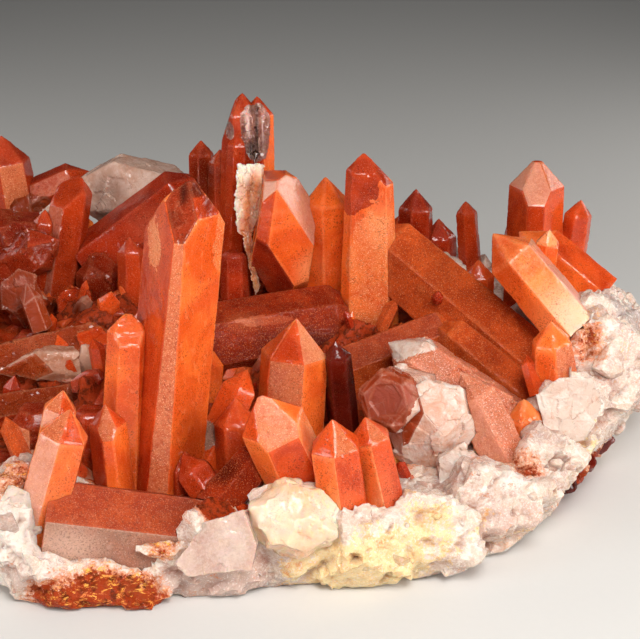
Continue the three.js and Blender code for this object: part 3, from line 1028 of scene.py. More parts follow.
@dataclass(frozen=True)
class MilkyRock:
    """Sugary milky quartz, stained by iron where the mesh's marks say so.

    Attributes:
        name: The finish's name.
        milk: The colour of clean rock.
        lilac: The colour of its slightly glassy, cooler parts.
        ochre: The yellow stain.
        honey: The deeper yellow blotches in that stain.
        rust: The brown stain.
        ember: The gold and orange flecks in the rust.
        grey: The grey granular rock.
        white: The glassy white veins and crust.
        shade: The painted shade in the hollows, a warm iron brown.
        tan: The warm border round the rust.
    """

    name: str = "milky_rock"
    milk: Colour = (0.73, 0.54, 0.43)
    lilac: Colour = (0.6, 0.41, 0.34)
    ochre: Colour = (0.92, 0.69, 0.34)
    honey: Colour = (0.82, 0.42, 0.11)
    rust: Colour = (0.34, 0.032, 0.005)
    ember: Colour = (0.97, 0.46, 0.08)
    grey: Colour = (0.44, 0.35, 0.32)
    white: Colour = (0.85, 0.75, 0.67)
    shade: Colour = (0.28, 0.06, 0.018)
    tan: Colour = (0.74, 0.22, 0.06)

    def material(self) -> Material:
        """Builds the material.

        Returns:
            Rock whose colours follow the marks "white", "grey", "lilac", "ochre", "rust" and "gold",
            with painted shade where the mark "hollow" is.
        """
        g = Graph(self.name)
        blots = g.noise(4.6, 6.0, 0.66)
        fine = g.noise(0.7, 4.0, 0.7)
        colour = g.mix(g.step(blots, 0.44, 0.58), self.milk, self.lilac)
        veins = g.step(g.noise(2.8, 6.0, 0.72, twist=1.6), 0.5, 0.6)
        colour = g.mix(g.sum("MULTIPLY", veins, 0.85), colour, self.white)
        sugar = g.step(g.noise(0.5, 3.0, 0.7), 0.5, 0.6, 0.0, 0.6)
        colour = g.mix(sugar, colour, self.white)
        yellow = g.mix(g.step(g.noise(1.5, 5.0, 0.7), 0.48, 0.62, 0.0, 0.6), self.ochre, self.honey)
        brown = g.mix(g.step(g.noise(1.3, 5.0, 0.7), 0.46, 0.62), self.rust, tuple(c * 0.3 for c in self.rust))
        rusty = 0.0
        for key, tint, strength in (
            ("white", self.white, 0.85),
            ("grey", self.grey, 0.8),
            ("lilac", self.lilac, 0.75),
            ("ochre", yellow, 0.85),
            ("rust", brown, 0.97),
        ):
            edge = g.sum("ADD", g.mark(key), g.sum("MULTIPLY", g.sum("SUBTRACT", blots, 0.5), 1.6))
            edge = g.sum("ADD", edge, g.sum("MULTIPLY", g.sum("SUBTRACT", fine, 0.5), 1.1))
            if key == "rust":
                colour = g.mix(g.step(edge, 0.12, 0.45, 0.0, 0.8), colour, self.tan)
            rusty = g.step(edge, 0.4, 0.62, 0.0, strength)
            colour = g.mix(rusty, colour, tint)
        leaves = g.noise(1.1, 5.0, 0.74, g.stretched((0.8, 0.8, 1.9)), 0.8)
        gold = g.mix(g.step(g.noise(1.6, 3.0), 0.44, 0.58), self.ember, self.tan)
        flecks = g.sum("MULTIPLY", g.step(leaves, 0.53, 0.62), g.mark("gold"))
        colour = g.mix(flecks, colour, gold)
        # Painted glints, kept off the rust.
        glints = g.sum("MULTIPLY", g.step(g.noise(0.3, 1.0, 0.5), 0.6, 0.68), 0.6)
        glints = g.sum("MULTIPLY", glints, g.sum("SUBTRACT", 1.0, rusty))
        colour = g.mix(glints, colour, self.white)
        pores = g.step(g.noise(0.5, 4.0, 0.7), 0.57, 0.68, 0.0, 0.22)
        colour = g.mix(pores, colour, tuple(c * 0.55 for c in self.tan))
        # Painted shade in the hollows, and round the feet of the rim stones.
        dark = g.sum("MULTIPLY", g.mark("hollow"), g.step(fine, 0.3, 0.6, 0.35, 0.75))
        colour = g.mix(dark, colour, self.shade)
        shells = g.noise(2.2, 4.0, 0.6, twist=2.4)
        relief = g.bump(shells, 0.36)
        relief = g.bump(g.noise(0.55, 5.0, 0.7), 0.15, relief)
        return g.finish(
            Base_Color=colour,
            Roughness=g.step(fine, 0.4, 0.62, 0.05, 0.24),
            IOR=QUARTZ_IOR,
            Normal=relief,
            Specular_IOR_Level=g.step(rusty, 0.0, 0.9, 0.5, 0.06),
            Subsurface_Weight=g.step(rusty, 0.0, 0.9, 0.45, 0.1),
            Subsurface_Radius=(1.0, 0.55, 0.35),
            Subsurface_Scale=1.8 * MM,
        )


@dataclass(frozen=True)
class StudioPaper:
    """The pale matte paper under the specimen.

    Attributes:
        name: The finish's name.
        tone: Its colour.
    """

    name: str = "studio_paper"
    tone: Colour = (0.66, 0.65, 0.63)

    def material(self) -> Material:
        """Builds the paper, a matte sheet with a barely visible tooth."""
        g = Graph(self.name)
        tooth = g.noise(1.2, 3.0)
        colour = g.mix(g.step(tooth, 0.3, 0.7, 0.0, 0.04), self.tone, (0.55, 0.54, 0.52))
        return g.finish(Base_Color=colour, Roughness=0.75, Normal=g.bump(tooth, 0.02), Specular_IOR_Level=0.2)


BRICK = StainedQuartz("brick_quartz", (0.24, 0.012, 0.002), (0.48, 0.043, 0.006), (0.56, 0.09, 0.03), wisp=0.25)
EMBER = StainedQuartz("ember_quartz", (0.38, 0.024, 0.003), (0.66, 0.074, 0.009), (0.74, 0.15, 0.045))
FLAME = StainedQuartz("flame_quartz", (0.6, 0.055, 0.005), (0.87, 0.155, 0.021), (0.9, 0.3, 0.11))
HONEY = StainedQuartz(
    "honey_quartz", (0.68, 0.08, 0.01), (0.86, 0.18, 0.034), (0.88, 0.38, 0.17), wisp=0.45, glow=0.55
)
SUNSET = StainedQuartz(
    "sunset_quartz", (0.74, 0.1, 0.014), (0.9, 0.23, 0.055), (0.92, 0.56, 0.38), frost=0.15, wisp=0.2, glow=0.55
)
GARNET = StainedQuartz("garnet_quartz", (0.2, 0.007, 0.001), (0.4, 0.028, 0.005), (0.5, 0.09, 0.04), wisp=0.25)
OXBLOOD = StainedQuartz(
    "oxblood_quartz", (0.15, 0.007, 0.001), (0.29, 0.021, 0.004), (0.42, 0.1, 0.04), speck=0.7, gloss=0.14, shine=0.2
)
RUSSET = StainedQuartz(
    "russet_quartz", (0.22, 0.02, 0.003), (0.36, 0.048, 0.009), (0.56, 0.23, 0.11),
    speck=0.7, wisp=0.4, gloss=0.12, shine=0.24,
)
COAL = StainedQuartz(
    "smoky_tip", (0.02, 0.003, 0.002), (0.3, 0.028, 0.007), (0.5, 0.14, 0.06),
    speck=0.5, wisp=0.4, glow=0.2, sparkle=0.1, shine=0.2,
)
DUSK = StainedQuartz("dusk_tip", (0.36, 0.046, 0.022), (0.52, 0.11, 0.055), (0.6, 0.24, 0.16), frost=0.4, wisp=0.3)
# Near-black red; on the shaded small crystal it is painted shade.
WINE = StainedQuartz(
    "wine_quartz", (0.03, 0.002, 0.001), (0.11, 0.006, 0.002), (0.2, 0.03, 0.02), speck=0.3, wisp=0.2, sparkle=0.04
)
# Frosted, and pale enough to paint the sheen of a lamp reflected in the faces that take it.
FROSTED_SHEEN = StainedQuartz(
    "frosted_sheen_quartz", (0.42, 0.066, 0.02), (0.56, 0.12, 0.04), (0.66, 0.22, 0.1), frost=0.5, sparkle=0.5, speck=0.7
)
# Frosted, and pale enough to paint the sheen of a lamp reflected in the faces that take it.
PEACH_SHEEN = StainedQuartz(
    "peach_sheen_quartz", (0.52, 0.1, 0.034), (0.62, 0.16, 0.058), (0.72, 0.27, 0.13),
    frost=0.45, sparkle=0.6, speck=0.4, gloss=0.26,
)
SUGAR = StainedQuartz(
    "sugared_quartz", (0.6, 0.064, 0.008), (0.8, 0.16, 0.03), (0.86, 0.34, 0.14), frost=0.3, sparkle=0.7, speck=0.7
)
# Frosted pink, painting the sheen of a lamp reflected in the faces that take it.
PINK_SHEEN = StainedQuartz(
    "pink_sheen_quartz", (0.54, 0.16, 0.085), (0.66, 0.25, 0.15), (0.78, 0.4, 0.29), frost=0.35, sparkle=0.5, speck=0.2
)
SLAB = StainedQuartz(
    "slab_quartz", (0.5, 0.09, 0.022), (0.86, 0.3, 0.09), (0.97, 0.83, 0.68), frost=0.15, speck=0.4, wisp=0.95
)
KNOB = StainedQuartz(
    "knob_quartz", (0.68, 0.34, 0.15), (0.75, 0.53, 0.35), (0.83, 0.68, 0.53), frost=0.3, speck=0.3, wisp=0.7, glow=0.7
)
LILAC = StainedQuartz(
    "lilac_quartz", (0.42, 0.24, 0.19), (0.55, 0.37, 0.3), (0.8, 0.66, 0.58),
    frost=0.3, speck=0.15, wisp=0.6, gloss=0.06,
)
FLINT = ClearQuartz(
    "pale_glass_quartz", (0.72, 0.44, 0.33), (0.88, 0.77, 0.68), (0.68, 0.26, 0.12), clear=0.2, gloss=0.04, cloudy=0.75
)
PEARL = StainedQuartz(
    "pearl_hollow", (0.05, 0.015, 0.01), (0.3, 0.09, 0.06), (0.74, 0.48, 0.42),
    frost=0.2, speck=0.4, wisp=0.9, gloss=0.06,
)
RUST = DustedQuartz("rust_dusted_quartz", (0.38, 0.045, 0.008), (0.56, 0.078, 0.013), (0.6, 0.15, 0.042))
EARTH = DustedQuartz(
    "earth_dusted_quartz", (0.2, 0.013, 0.003), (0.31, 0.026, 0.005), (0.36, 0.07, 0.024), glitter=0.3
)
ROSE = DustedQuartz(
    "rose_dusted_quartz", (0.32, 0.042, 0.015), (0.42, 0.064, 0.018), (0.54, 0.15, 0.07), (0.8, 0.36, 0.2), glitter=0.25
)
TAUPE = DustedQuartz(
    "taupe_quartz", (0.33, 0.16, 0.11), (0.4, 0.16, 0.1), (0.6, 0.36, 0.27), (0.8, 0.55, 0.45), glitter=0.25, glow=0.3
)
ASH = DustedQuartz(
    "ash_quartz", (0.52, 0.15, 0.075), (0.58, 0.14, 0.058), (0.78, 0.38, 0.25), (0.95, 0.7, 0.58),
    glitter=0.45, glow=0.3,
)
GLASS = ClearQuartz(
    "flawed_glass_quartz", (0.86, 0.48, 0.34), (0.98, 0.88, 0.8), (0.72, 0.24, 0.1),
    clear=0.25, gloss=0.03, cloudy=0.62,
)
WINDOW = ClearQuartz(
    "red_window_quartz", (0.42, 0.055, 0.012), (0.86, 0.44, 0.27), (0.5, 0.06, 0.014), clear=0.3, gloss=0.03, cloudy=0.0
)
HUSK = ClearQuartz(
    "husk_quartz", (0.6, 0.24, 0.13), (0.92, 0.66, 0.52), (0.5, 0.12, 0.04), clear=0.3, gloss=0.03, cloudy=0.45
)
STONE = ClearQuartz(
    "pale_stone_quartz", (0.56, 0.32, 0.23), (0.68, 0.46, 0.37), (0.48, 0.2, 0.11), clear=0.1, gloss=0.12, cloudy=0.8
)
SHARD = ClearQuartz(
    "glassy_shard", (0.44, 0.062, 0.014), (0.86, 0.5, 0.34), (0.36, 0.03, 0.006), clear=0.3, gloss=0.03, cloudy=0.12
)

_MADE: dict[str, Material] = {}


def made(finish: StainedQuartz | DustedQuartz | ClearQuartz | MilkyRock | StudioPaper) -> Material:
    """The finish's material, built the first time that it is asked for.

    Args:
        finish: The finish.

    Returns:
        Its material.
    """
    if finish.name not in _MADE:
        _MADE[finish.name] = finish.material()
    return _MADE[finish.name]


# ---------------------------------------------------------------- crystals

STEP_WIDTH = 5.0  # of the cloud whose levels are growth steps
STEP_LEVELS = 3
UNEVEN_WIDTH = 1.1  # of the cloud that makes worn edges uneven
LARGE_CHIP = 4.2  # widths of the chips on a broken lump
SMALL_CHIP = 1.5
HOLLOW_CHIP = 1.4
BED_SHADE_HEIGHT = 26  # above this, the painted shade towards the bed doesn't reach


def direction(azimuth: float, elevation: float) -> Array:
    """A unit vector: (sin a cos e, -cos a cos e, sin e).

    Args:
        azimuth: The angle a in degrees, 0 for -Y and 90 for +X.
        elevation: The angle e above the level, in degrees.

    Returns:
        The vector.
    """
    a, e = math.radians(azimuth), math.radians(elevation)
    return np.array([math.sin(a) * math.cos(e), -math.cos(a) * math.cos(e), math.sin(e)])


@dataclass(frozen=True)
class Facet:
    """A finish for the faces of a crystal that look one way.

    A lighter or darker copy of the stain on such faces paints how light falls on
    them; a pale sheen finish paints a lamp's reflection.

    Attributes:
        azimuth: The way they look, 0 for -Y and 90 for +X.
        elevation: The way they look, above the level.
        finish: What they are dressed with.
        within: How far off that way a face may be, in degrees.
    """

    azimuth: float
    elevation: float
    finish: StainedQuartz | DustedQuartz | ClearQuartz
    within: float = 9.0


@dataclass(frozen=True)
class Patch:
    """A ragged patch of another finish on a crystal.

    Attributes:
        centre: Its middle.
        reach: Its half widths along X, Y and Z.
        finish: What it is dressed with.
        ragged: How uneven its border is.
        hollow: How deep the skin is broken away in it.
    """

    centre: Point
    reach: Point
    finish: StainedQuartz | DustedQuartz | ClearQuartz
    ragged: float = 0.4
    hollow: float = 0.0

    def inside(self, points: Array) -> Array:
        """Above 0 inside: 1 - d * d plus a cloud, where d is the way from the centre over the reach."""
        way = (points - np.array(self.centre)) / np.array(self.reach)
        return 1 - (way * way).sum(axis=1) + self.ragged * clouds(points, 2.6, 77, 3)


@dataclass(frozen=True)
class Shade:
    """A smooth change of colour inside a crystal.

    Attributes:
        kind: The mark that it raises, "pale" or "deep".
        centre: Where it is strongest.
        reach: How far it goes along X, Y and Z.
        strength: Its value at the centre.
    """

    kind: str
    centre: Point
    reach: Point
    strength: float = 0.9

    def on(self, points: Array) -> Array:
        """How strong it is: t * t * (3 - 2 * t) times the strength, where t falls evenly from 1 at the centre to 0.

        Args:
            points: Where, shape (n, 3).

        Returns:
            Shape (n,).
        """
        way = (points - np.array(self.centre)) / np.array(self.reach)
        t = np.clip(1.15 * (1 - np.linalg.norm(way, axis=1)), 0, 1)
        return self.strength * t * t * (3 - 2 * t)


@dataclass(frozen=True)
class HexWell:
    """Six-sided terraces that step down into a face, one inside the other.

    Attributes:
        centre: The middle, on the face.
        azimuth: Where the face looks, in degrees from -Y towards +X.
        elevation: How far above level it looks.
        radii: How far the border of each terrace is from the middle.
        depth: How far each steps down.
        turn: How far the six sides are turned in the face, in radians.
        near: How far off the face a point may be.
    """

    centre: Point
    azimuth: float
    elevation: float
    radii: tuple[float, ...]
    depth: float
    turn: float = 0.26
    near: float = 1.5

    def distances(self, points: Array) -> Array:
        """The six-sided distance in the face: the largest of three turned coordinates' sizes.

        Args:
            points: Where, shape (n, 3).

        Returns:
            Shape (n,), and far more than any radius off the face.
        """
        normal = direction(self.azimuth, self.elevation)
        across = np.cross(normal, (0, 0, 1))
        across /= np.linalg.norm(across)
        up = np.cross(across, normal)
        way = points - np.array(self.centre)
        x, y = way @ across, way @ up
        turns = (self.turn, self.turn + math.pi / 3, self.turn - math.pi / 3)
        sides = [np.abs(x * math.cos(a) + y * math.sin(a)) for a in turns]
        return np.where(np.abs(way @ normal) < self.near, np.max(sides, axis=0), 99.0)


@dataclass
class Crystal:
    """One crystal or one intergrown group, cut from its CAD node.

    Attributes:
        node: The CAD node.
        finish: Its finish.
        facets: Faces with a finish of their own.
        patches: Patches with a finish of their own.
        shades: Smooth changes of colour.
        wells: Six-sided terraces in its faces.
        slot: The record's slot; not used.
        grain: The longest side of a triangle.
        steps: The height of the growth steps on its faces.
        bed_shade: How strongly painted shade darkens it low down inside the bed.
        seat: How far the skin stands out, to close on its neighbours.
        wear: How far its edges are worn in.
        breakage: The depth of the chips on a broken lump.
    """

    node: str
    finish: StainedQuartz | DustedQuartz | ClearQuartz = EMBER
    facets: tuple[Facet, ...] = ()
    patches: tuple[Patch, ...] = ()
    shades: tuple[Shade, ...] = ()
    wells: tuple[HexWell, ...] = ()
    slot: Slot = Slot.ORANGE
    grain: float = 0.68
    steps: float = 0.08
    wear: float = 0.13
    bed_shade: float = 0.35
    seat: float = 0.18
    breakage: float = 0.0

    def skin(self, frame: dict) -> tuple[Shell, dict[str, Array]]:
        """Refines the node's solid and gives it growth steps and worn edges.

        A growth step is a cloud rounded to whole levels, so the face climbs in low
        terraces. Edges go in by a small amount that a second cloud makes uneven. Chips
        are added on a broken lump, and patches and wells go in by their depths. The
        mark "deep" also grows towards the bed, below `BED_SHADE_HEIGHT`, as painted
        shade low among the crowded crystals.

        Returns:
            The skin, and the marks "crest", "pale" and "deep" on its corners, from 0 to 1.
        """
        shell = Shell.from_object(frame["nodes"][self.node])
        normal = shell.face_normals()
        for i, facet in enumerate(self.facets, 1):
            near = normal @ direction(facet.azimuth, facet.elevation) > math.cos(math.radians(facet.within))
            shell.tags[near] = i
        shell = shell.refined(mesh_size(self.grain))
        points = shell.points
        for i, patch in enumerate(self.patches, 1 + len(self.facets)):
            shell.tags[patch.inside(points[shell.faces].mean(axis=1)) > 0] = i
        seed = sum(ord(c) for c in self.node)
        crest = shell.crests()
        levels = clouds(points, STEP_WIDTH, seed, 3) * STEP_LEVELS
        terrace = np.floor(levels) + np.clip((levels - np.floor(levels)) * 4 - 1.5, 0, 1)
        amount = self.seat + self.steps * terrace / 2 + 0.3 * self.steps * clouds(points, 1.2, seed + 5, 2)
        uneven = np.clip(cloud(points, UNEVEN_WIDTH, seed + 9) + 0.3, 0, 1.3)
        amount -= self.wear * np.maximum(crest, 0) * (0.35 + uneven)
        if self.breakage:
            large, _ = chips(points, LARGE_CHIP, seed + 11)
            small, _ = chips(points, SMALL_CHIP, seed + 12)
            smooth = [np.clip(1.4 + max(w.radii) - w.distances(points), 0, 1) for w in self.wells]
            amount += self.breakage * (large + 0.12 * small) * (1 - np.max(smooth + [0 * amount], axis=0))
        for patch in self.patches:
            if patch.hollow:
                depth = np.clip(patch.inside(points) * 3, 0, 1)
                amount -= patch.hollow * depth * (0.5 + chips(points * (1, 1, 0.5), HOLLOW_CHIP, seed + 13)[0])
        marks = {"crest": np.clip(shell.spread(np.maximum(crest, 0), 1) * 1.6, 0, 1)}
        for kind in ("pale", "deep"):
            chosen = [shade.on(points) for shade in self.shades if shade.kind == kind]
            marks[kind] = np.clip(np.sum(chosen, axis=0), 0, 1) if chosen else np.zeros(len(points))
        # Painted shade: the mark "deep" grows low down inside the bed, among the crowded crystals.
        inside = np.clip(2.6 - 3.2 * plan(points), 0, 1)
        low = np.clip((BED_SHADE_HEIGHT - points[:, 2] + 3 * clouds(points, 6.0, 31, 2)) / 14, 0, 1)
        marks["deep"] = np.clip(marks["deep"] + self.bed_shade * inside * low, 0, 1)
        for well in self.wells:
            distance = well.distances(points)
            for radius in well.radii:
                amount -= well.depth * np.clip((radius - distance) / 0.3, 0, 1)
                # Thin painted highlights along each terrace's border.
                marks["crest"] = np.maximum(marks["crest"], 0.45 * np.exp(-(((distance - radius) / 0.16) ** 2)))
        return shell.pushed(amount), marks

    def build(self, frame: dict) -> Piece:
        """Makes the piece, dresses it and lets it stand for its node.


        Returns:
            The finished piece.
        """
        shell, marks = self.skin(frame)
        materials = [made(part.finish) for part in (self, *self.facets, *self.patches)]
        piece = shell.object(f"{self.node}_skin", materials, marks)
        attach(piece, BODY)
        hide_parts(self.node)
        LOG.info("%s: %d triangles", piece.name, len(shell.faces))
        return piece


@dataclass
class CrystalGroup:
    """Crystals that are built together.

    Attributes:
        crystals: The crystals, each with its finishes.
    """

    crystals: tuple[Crystal, ...] = ()

    def build(self, frame: dict) -> list[Piece]:
        """Builds every crystal of the group."""
        return [crystal.build(frame) for crystal in self.crystals]


@dataclass
class FrontCrystals(CrystalGroup):
    """The standing crystals along the front, with the tall pair."""

    crystals: tuple[Crystal, ...] = (
        Crystal(
            "tall_front_crystals", FLAME,
            (Facet(2, 44, COAL, 8), Facet(-3, 5, FROSTED_SHEEN, 8), Facet(63, 36, BRICK), Facet(17, 44, HONEY, 7),
             Facet(-63, 9, EMBER, 8)),
            (Patch((-1.6, -29, 62.0), (2.6, 4, 2.2), COAL, 0.4), Patch((3.2, -30, 52), (2.0, 4, 5), SUGAR, 0.9),
             Patch((-9, -32, 53), (2.4, 4, 5), SUGAR, 0.9)),
            (Shade("pale", (-9, -32, 53.5), (5, 5, 9), 0.55), Shade("pale", (4, -34, 30), (5, 5, 14), 0.35),
             Shade("deep", (-3.2, -30, 60.5), (1.2, 4, 3.5), 0.9), Shade("deep", (0.6, -30, 60), (1.2, 4, 3), 0.7),
             Shade("deep", (-6, -34, 20), (8, 5, 9), 0.2)),
            grain=0.45,
        ),
        Crystal(
            "small_front_crystal", EMBER, (Facet(2, 45, FROSTED_SHEEN), Facet(66, 7, FLAME), Facet(5, 8, FLAME)),
            shades=(Shade("deep", (-16, -38, 14), (7, 7, 7), 0.4),),
        ),
        Crystal(
            "front_left_pair", HONEY, (Facet(-31, 15, PINK_SHEEN), Facet(-20, 51, FROSTED_SHEEN), Facet(41, 34, EMBER)),
            shades=(Shade("pale", (-25.5, -47, 14), (6, 6, 9), 0.8), Shade("deep", (-20, -42, 29), (3, 4, 5), 0.25)),
        ),
        Crystal(
            "leaning_front_crystal", EMBER,
            (Facet(1, 30, PEACH_SHEEN), Facet(57, 52, FLAME), Facet(73, 17, SUNSET), Facet(-43, -21, HONEY, 14)),
            shades=(Shade("pale", (14, -41, 20), (6, 5, 8), 0.4), Shade("deep", (9, -36, 27), (3, 4, 4), 0.25)),
        ),
        Crystal(
            "front_twin_crystals", EMBER, (Facet(22, 41, FROSTED_SHEEN), Facet(-27, -3, HONEY, 7)),
            shades=(Shade("pale", (22.5, -47, 14), (4, 5, 7), 0.85), Shade("pale", (29, -46, 16), (2.6, 4, 7), 0.5),
                    Shade("deep", (25.6, -45, 18), (1.2, 4, 8), 0.5)),
        ),
        Crystal(
            "centre_crystal", FLAME, (Facet(-13, 7, FROSTED_SHEEN), Facet(-11, 44, EMBER), Facet(52, 39, PEACH_SHEEN)),
            shades=(Shade("pale", (17, -34, 20), (4, 4, 9), 0.3),),
        ),
        # Near-black WINE here is painted shade: the crystal stands in shadow.
        Crystal("shaded_small_crystal", WINE, slot=Slot.CLEAR),
    )


@dataclass(frozen=True)
class PaleSlab:
    """The thin pale slab beside the faceted group, broken off flat at its top, and a sliver under it.

    Attributes:
        outlines: The corners round each piece's front face.
        ways: From each front face to its back.
        grain: The longest side of a triangle.
        fade: How far from its left edge the paleness ends.
    """

    outlines: tuple[tuple[Point, ...], ...] = (
        ((3.2, 16, 50.0), (4.7, 16, 49.8), (6.2, 16, 50.1), (7.8, 16, 49.9), (7.7, 16, 44.8), (7.5, 16, 41.5),
         (6.8, 16, 38.9), (5.6, 16, 36.3), (4.5, 16, 34.9), (3.0, 16, 36.3), (2.7, 16, 38.9), (2.3, 16, 42.3),
         (2.8, 16, 45.4), (3.0, 16, 47.4)),
        ((4.0, 15, 35.7), (5.1, 15, 36.3), (7.0, 15, 25.5), (6.1, 15, 23.8)),
    )
    ways: tuple[Point, ...] = ((0.4, 3.2, -0.6), (0.2, 1.6, -1.0))
    grain: float = 0.35
    fade: float = 2.4

    def build(self) -> Piece:
        """Makes the slab, dresses it and lets it stand for its node.

        The broken edge comes from two chip reliefs. The mark "pale" is strong at the
        top and along the left edge, and fades towards the right.

        Returns:
            The finished piece.
        """
        rings = [np.array(ring) for ring in self.outlines]
        shell = slabs(rings, [np.array(way) for way in self.ways], 0.86).refined(mesh_size(self.grain))
        p = shell.points
        crest = np.maximum(shell.crests(), 0)
        amount = 0.35 * chips(p, 1.8, 71)[0] + 0.3 * chips(p * (1, 1, 0.4), 0.9, 72)[0] + 0.2 * clouds(p, 1.5, 73, 3)
        left = p[:, 0] - 2.6 - 0.1 * (p[:, 2] - 42)
        fade = np.clip(1.0 - left / self.fade, 0, 1) + np.clip((p[:, 2] - 46) / 4, 0, 1)
        streaks = 0.6 * clouds(p * (1, 1, 0.3), 1.2, 74, 3)
        marks = {
            "crest": np.clip(shell.spread(crest, 1) * 1.2, 0, 1),
            "pale": np.clip(fade + streaks, 0, 1),
            "deep": np.clip(0.4 - fade + streaks, 0, 0.5),
        }
        piece = shell.pushed(amount - 0.15 * crest).object("pale_back_slab_skin", [made(SLAB)], marks, 24.0)
        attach(piece, BODY)
        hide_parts("pale_back_slab")
        LOG.info("%s: %d triangles", piece.name, len(shell.faces))
        return piece


@dataclass
class BackCrystals(CrystalGroup):
    """The crystals behind the middle: the spire, the faceted group and the broad one.

    Attributes:
        slab: The thin slab that stands among them.
    """

    crystals: tuple[Crystal, ...] = (
        Crystal(
            "broad_standing_crystal", FLAME, (Facet(-4, 42, BRICK), Facet(58, 40, BRICK), Facet(56, 4, HONEY)),
            (Patch((24.5, 5, 53), (5.5, 9, 9.5), BRICK, 0.3), Patch((28, 4, 33), (4.5, 9, 13), SUGAR, 0.8)),
            (Shade("pale", (29, 5, 42), (4, 6, 7), 0.4), Shade("deep", (27, 5, 22), (8, 6, 5), 0.35)), grain=0.45,
        ),
        Crystal(
            "back_spire", BRICK, (Facet(54, 3, FLAME, 12),),
            (Patch((6.2, 27.5, 52.8), (2.9, 3.6, 6.8), PEARL, 0.35, 0.8),
             Patch((1.4, 27.6, 52.6), (0.9, 3, 1.8), PEARL, 0.5, 0.3)),
            (Shade("deep", (5.6, 27, 48.8), (1.9, 4, 3.6), 1.0), Shade("deep", (6.4, 27, 54), (0.7, 4, 5), 0.9),
             Shade("deep", (-4, 31, 42), (6, 8, 9), 0.8), Shade("pale", (4.6, 27, 54.6), (0.8, 4, 4.6), 1.0),
             Shade("pale", (7.8, 27, 54), (0.7, 4, 5.6), 1.0), Shade("pale", (2.6, 28, 56), (1.6, 4, 3), 0.6)),
            grain=0.54,
        ),
        Crystal(
            "faceted_back_crystals", FLAME,
            (Facet(66, 21, PINK_SHEEN), Facet(-60, 36, PINK_SHEEN), Facet(-40, -28, GARNET, 12), Facet(-22, 5, EMBER, 7),
             Facet(-115, 73, EMBER)),
            shades=(Shade("pale", (17, 10.5, 31), (5, 5, 6), 0.7), Shade("deep", (9, 16, 33), (4, 6, 6), 0.3)),
            grain=0.5,
        ),
        Crystal("bed_block_crystal", GARNET),
        Crystal("centre_bed_crystals", EMBER, patches=(Patch((-1, -29, 17), (2.2, 3, 2.4), TAUPE, 0.4),)),
        Crystal("back_left_crystals", BRICK, (Facet(-43, 15, DUSK),)),
        Crystal("back_lying_crystal", GARNET, shades=(Shade("pale", (-14, 26, 34), (8, 8, 6), 0.5),)),
        Crystal("back_right_crystals", GARNET),
        Crystal("back_right_sliver", BRICK),
        Crystal("back_right_block", EMBER),
        Crystal("back_middle_crystals", EMBER),
        Crystal("back_left_leaning_crystal", EMBER),
        Crystal("back_corner_crystals", EMBER),
        Crystal("back_right_leaning_crystal", EMBER),
    )

    slab: PaleSlab = PaleSlab()

    def build(self, frame: dict) -> list[Piece]:
        """Builds every crystal of the group and the slab."""
        return super().build(frame) + [self.slab.build()]


@dataclass
class RightCrystals(CrystalGroup):
    """The crystals on the high right rim."""

    crystals: tuple[Crystal, ...] = (
        Crystal(
            "right_crystal_group", EMBER,
            (Facet(-66, 3, EMBER), Facet(54, 4, EMBER), Facet(-6, 6, BRICK), Facet(-7, 44, PINK_SHEEN),
             Facet(-70, 40, PINK_SHEEN), Facet(58, 41, FROSTED_SHEEN)),
        ),
        Crystal("right_low_crystals", FLAME, (Facet(36, 55, EMBER),)),
        Crystal(
            "leaning_right_crystal", FLAME, (Facet(11, 28, SUNSET), Facet(-27, 54, HONEY), Facet(85, 44, PINK_SHEEN)),
            shades=(Shade("pale", (66, -11.5, 29), (15, 8, 12), 1.0), Shade("deep", (52, -7, 41), (7, 8, 7), 0.2)),
        ),
        Crystal("right_wedge_crystal", FLAME, (Facet(32, 8, FROSTED_SHEEN),)),
        Crystal("right_rim_crystal", HONEY, (Facet(-30, 30, EMBER),), breakage=0.25),
        Crystal("red_wedge", ASH, (Facet(-25, 5, PINK_SHEEN),), breakage=0.3),
    )


@dataclass
class LeftCrystals(CrystalGroup):
    """The crystals and slabs on the left bed and past it."""

    crystals: tuple[Crystal, ...] = (
        Crystal(
            "far_left_crystals", BRICK, (Facet(1, 24, DUSK), Facet(22, 9, FROSTED_SHEEN)),
            (Patch((-40, 40, 32), (4, 6, 3), SHARD, 0.8, 0.4),),
        ),
        Crystal("left_bed_crystal", BRICK),
        Crystal("left_end_crystals", FLAME),
        Crystal("left_end_back_crystals", EMBER),
        Crystal("left_front_crystals", FLAME),
        Crystal("left_bed_fragment", HUSK, (Facet(-5, 0, RUSSET),), slot=Slot.CLEAR, breakage=0.5),
        Crystal("far_left_slabs", OXBLOOD, (Facet(23, 62, BRICK),), slot=Slot.RUST, breakage=0.5),
        Crystal(
            "left_bed_slab", RUSSET, shades=(Shade("pale", (-34, -7, 25), (9, 7, 5), 0.5),), slot=Slot.RUST,
            breakage=0.4,
        ),
        Crystal("left_lower_slab", RUSSET, (Facet(3, 0, BRICK),), slot=Slot.RUST, breakage=0.4),
        Crystal("left_dark_block", OXBLOOD, (Facet(-40, 1, PEACH_SHEEN),), slot=Slot.RUST, breakage=0.5),
        Crystal("left_upright_block", BRICK, slot=Slot.RUST, breakage=0.4),
        Crystal("left_bed_lump", OXBLOOD, slot=Slot.RUST, breakage=0.4),
        Crystal("left_end_prism", RUST, slot=Slot.RUST),
        Crystal("left_front_prism", ROSE, slot=Slot.RUST),
    )


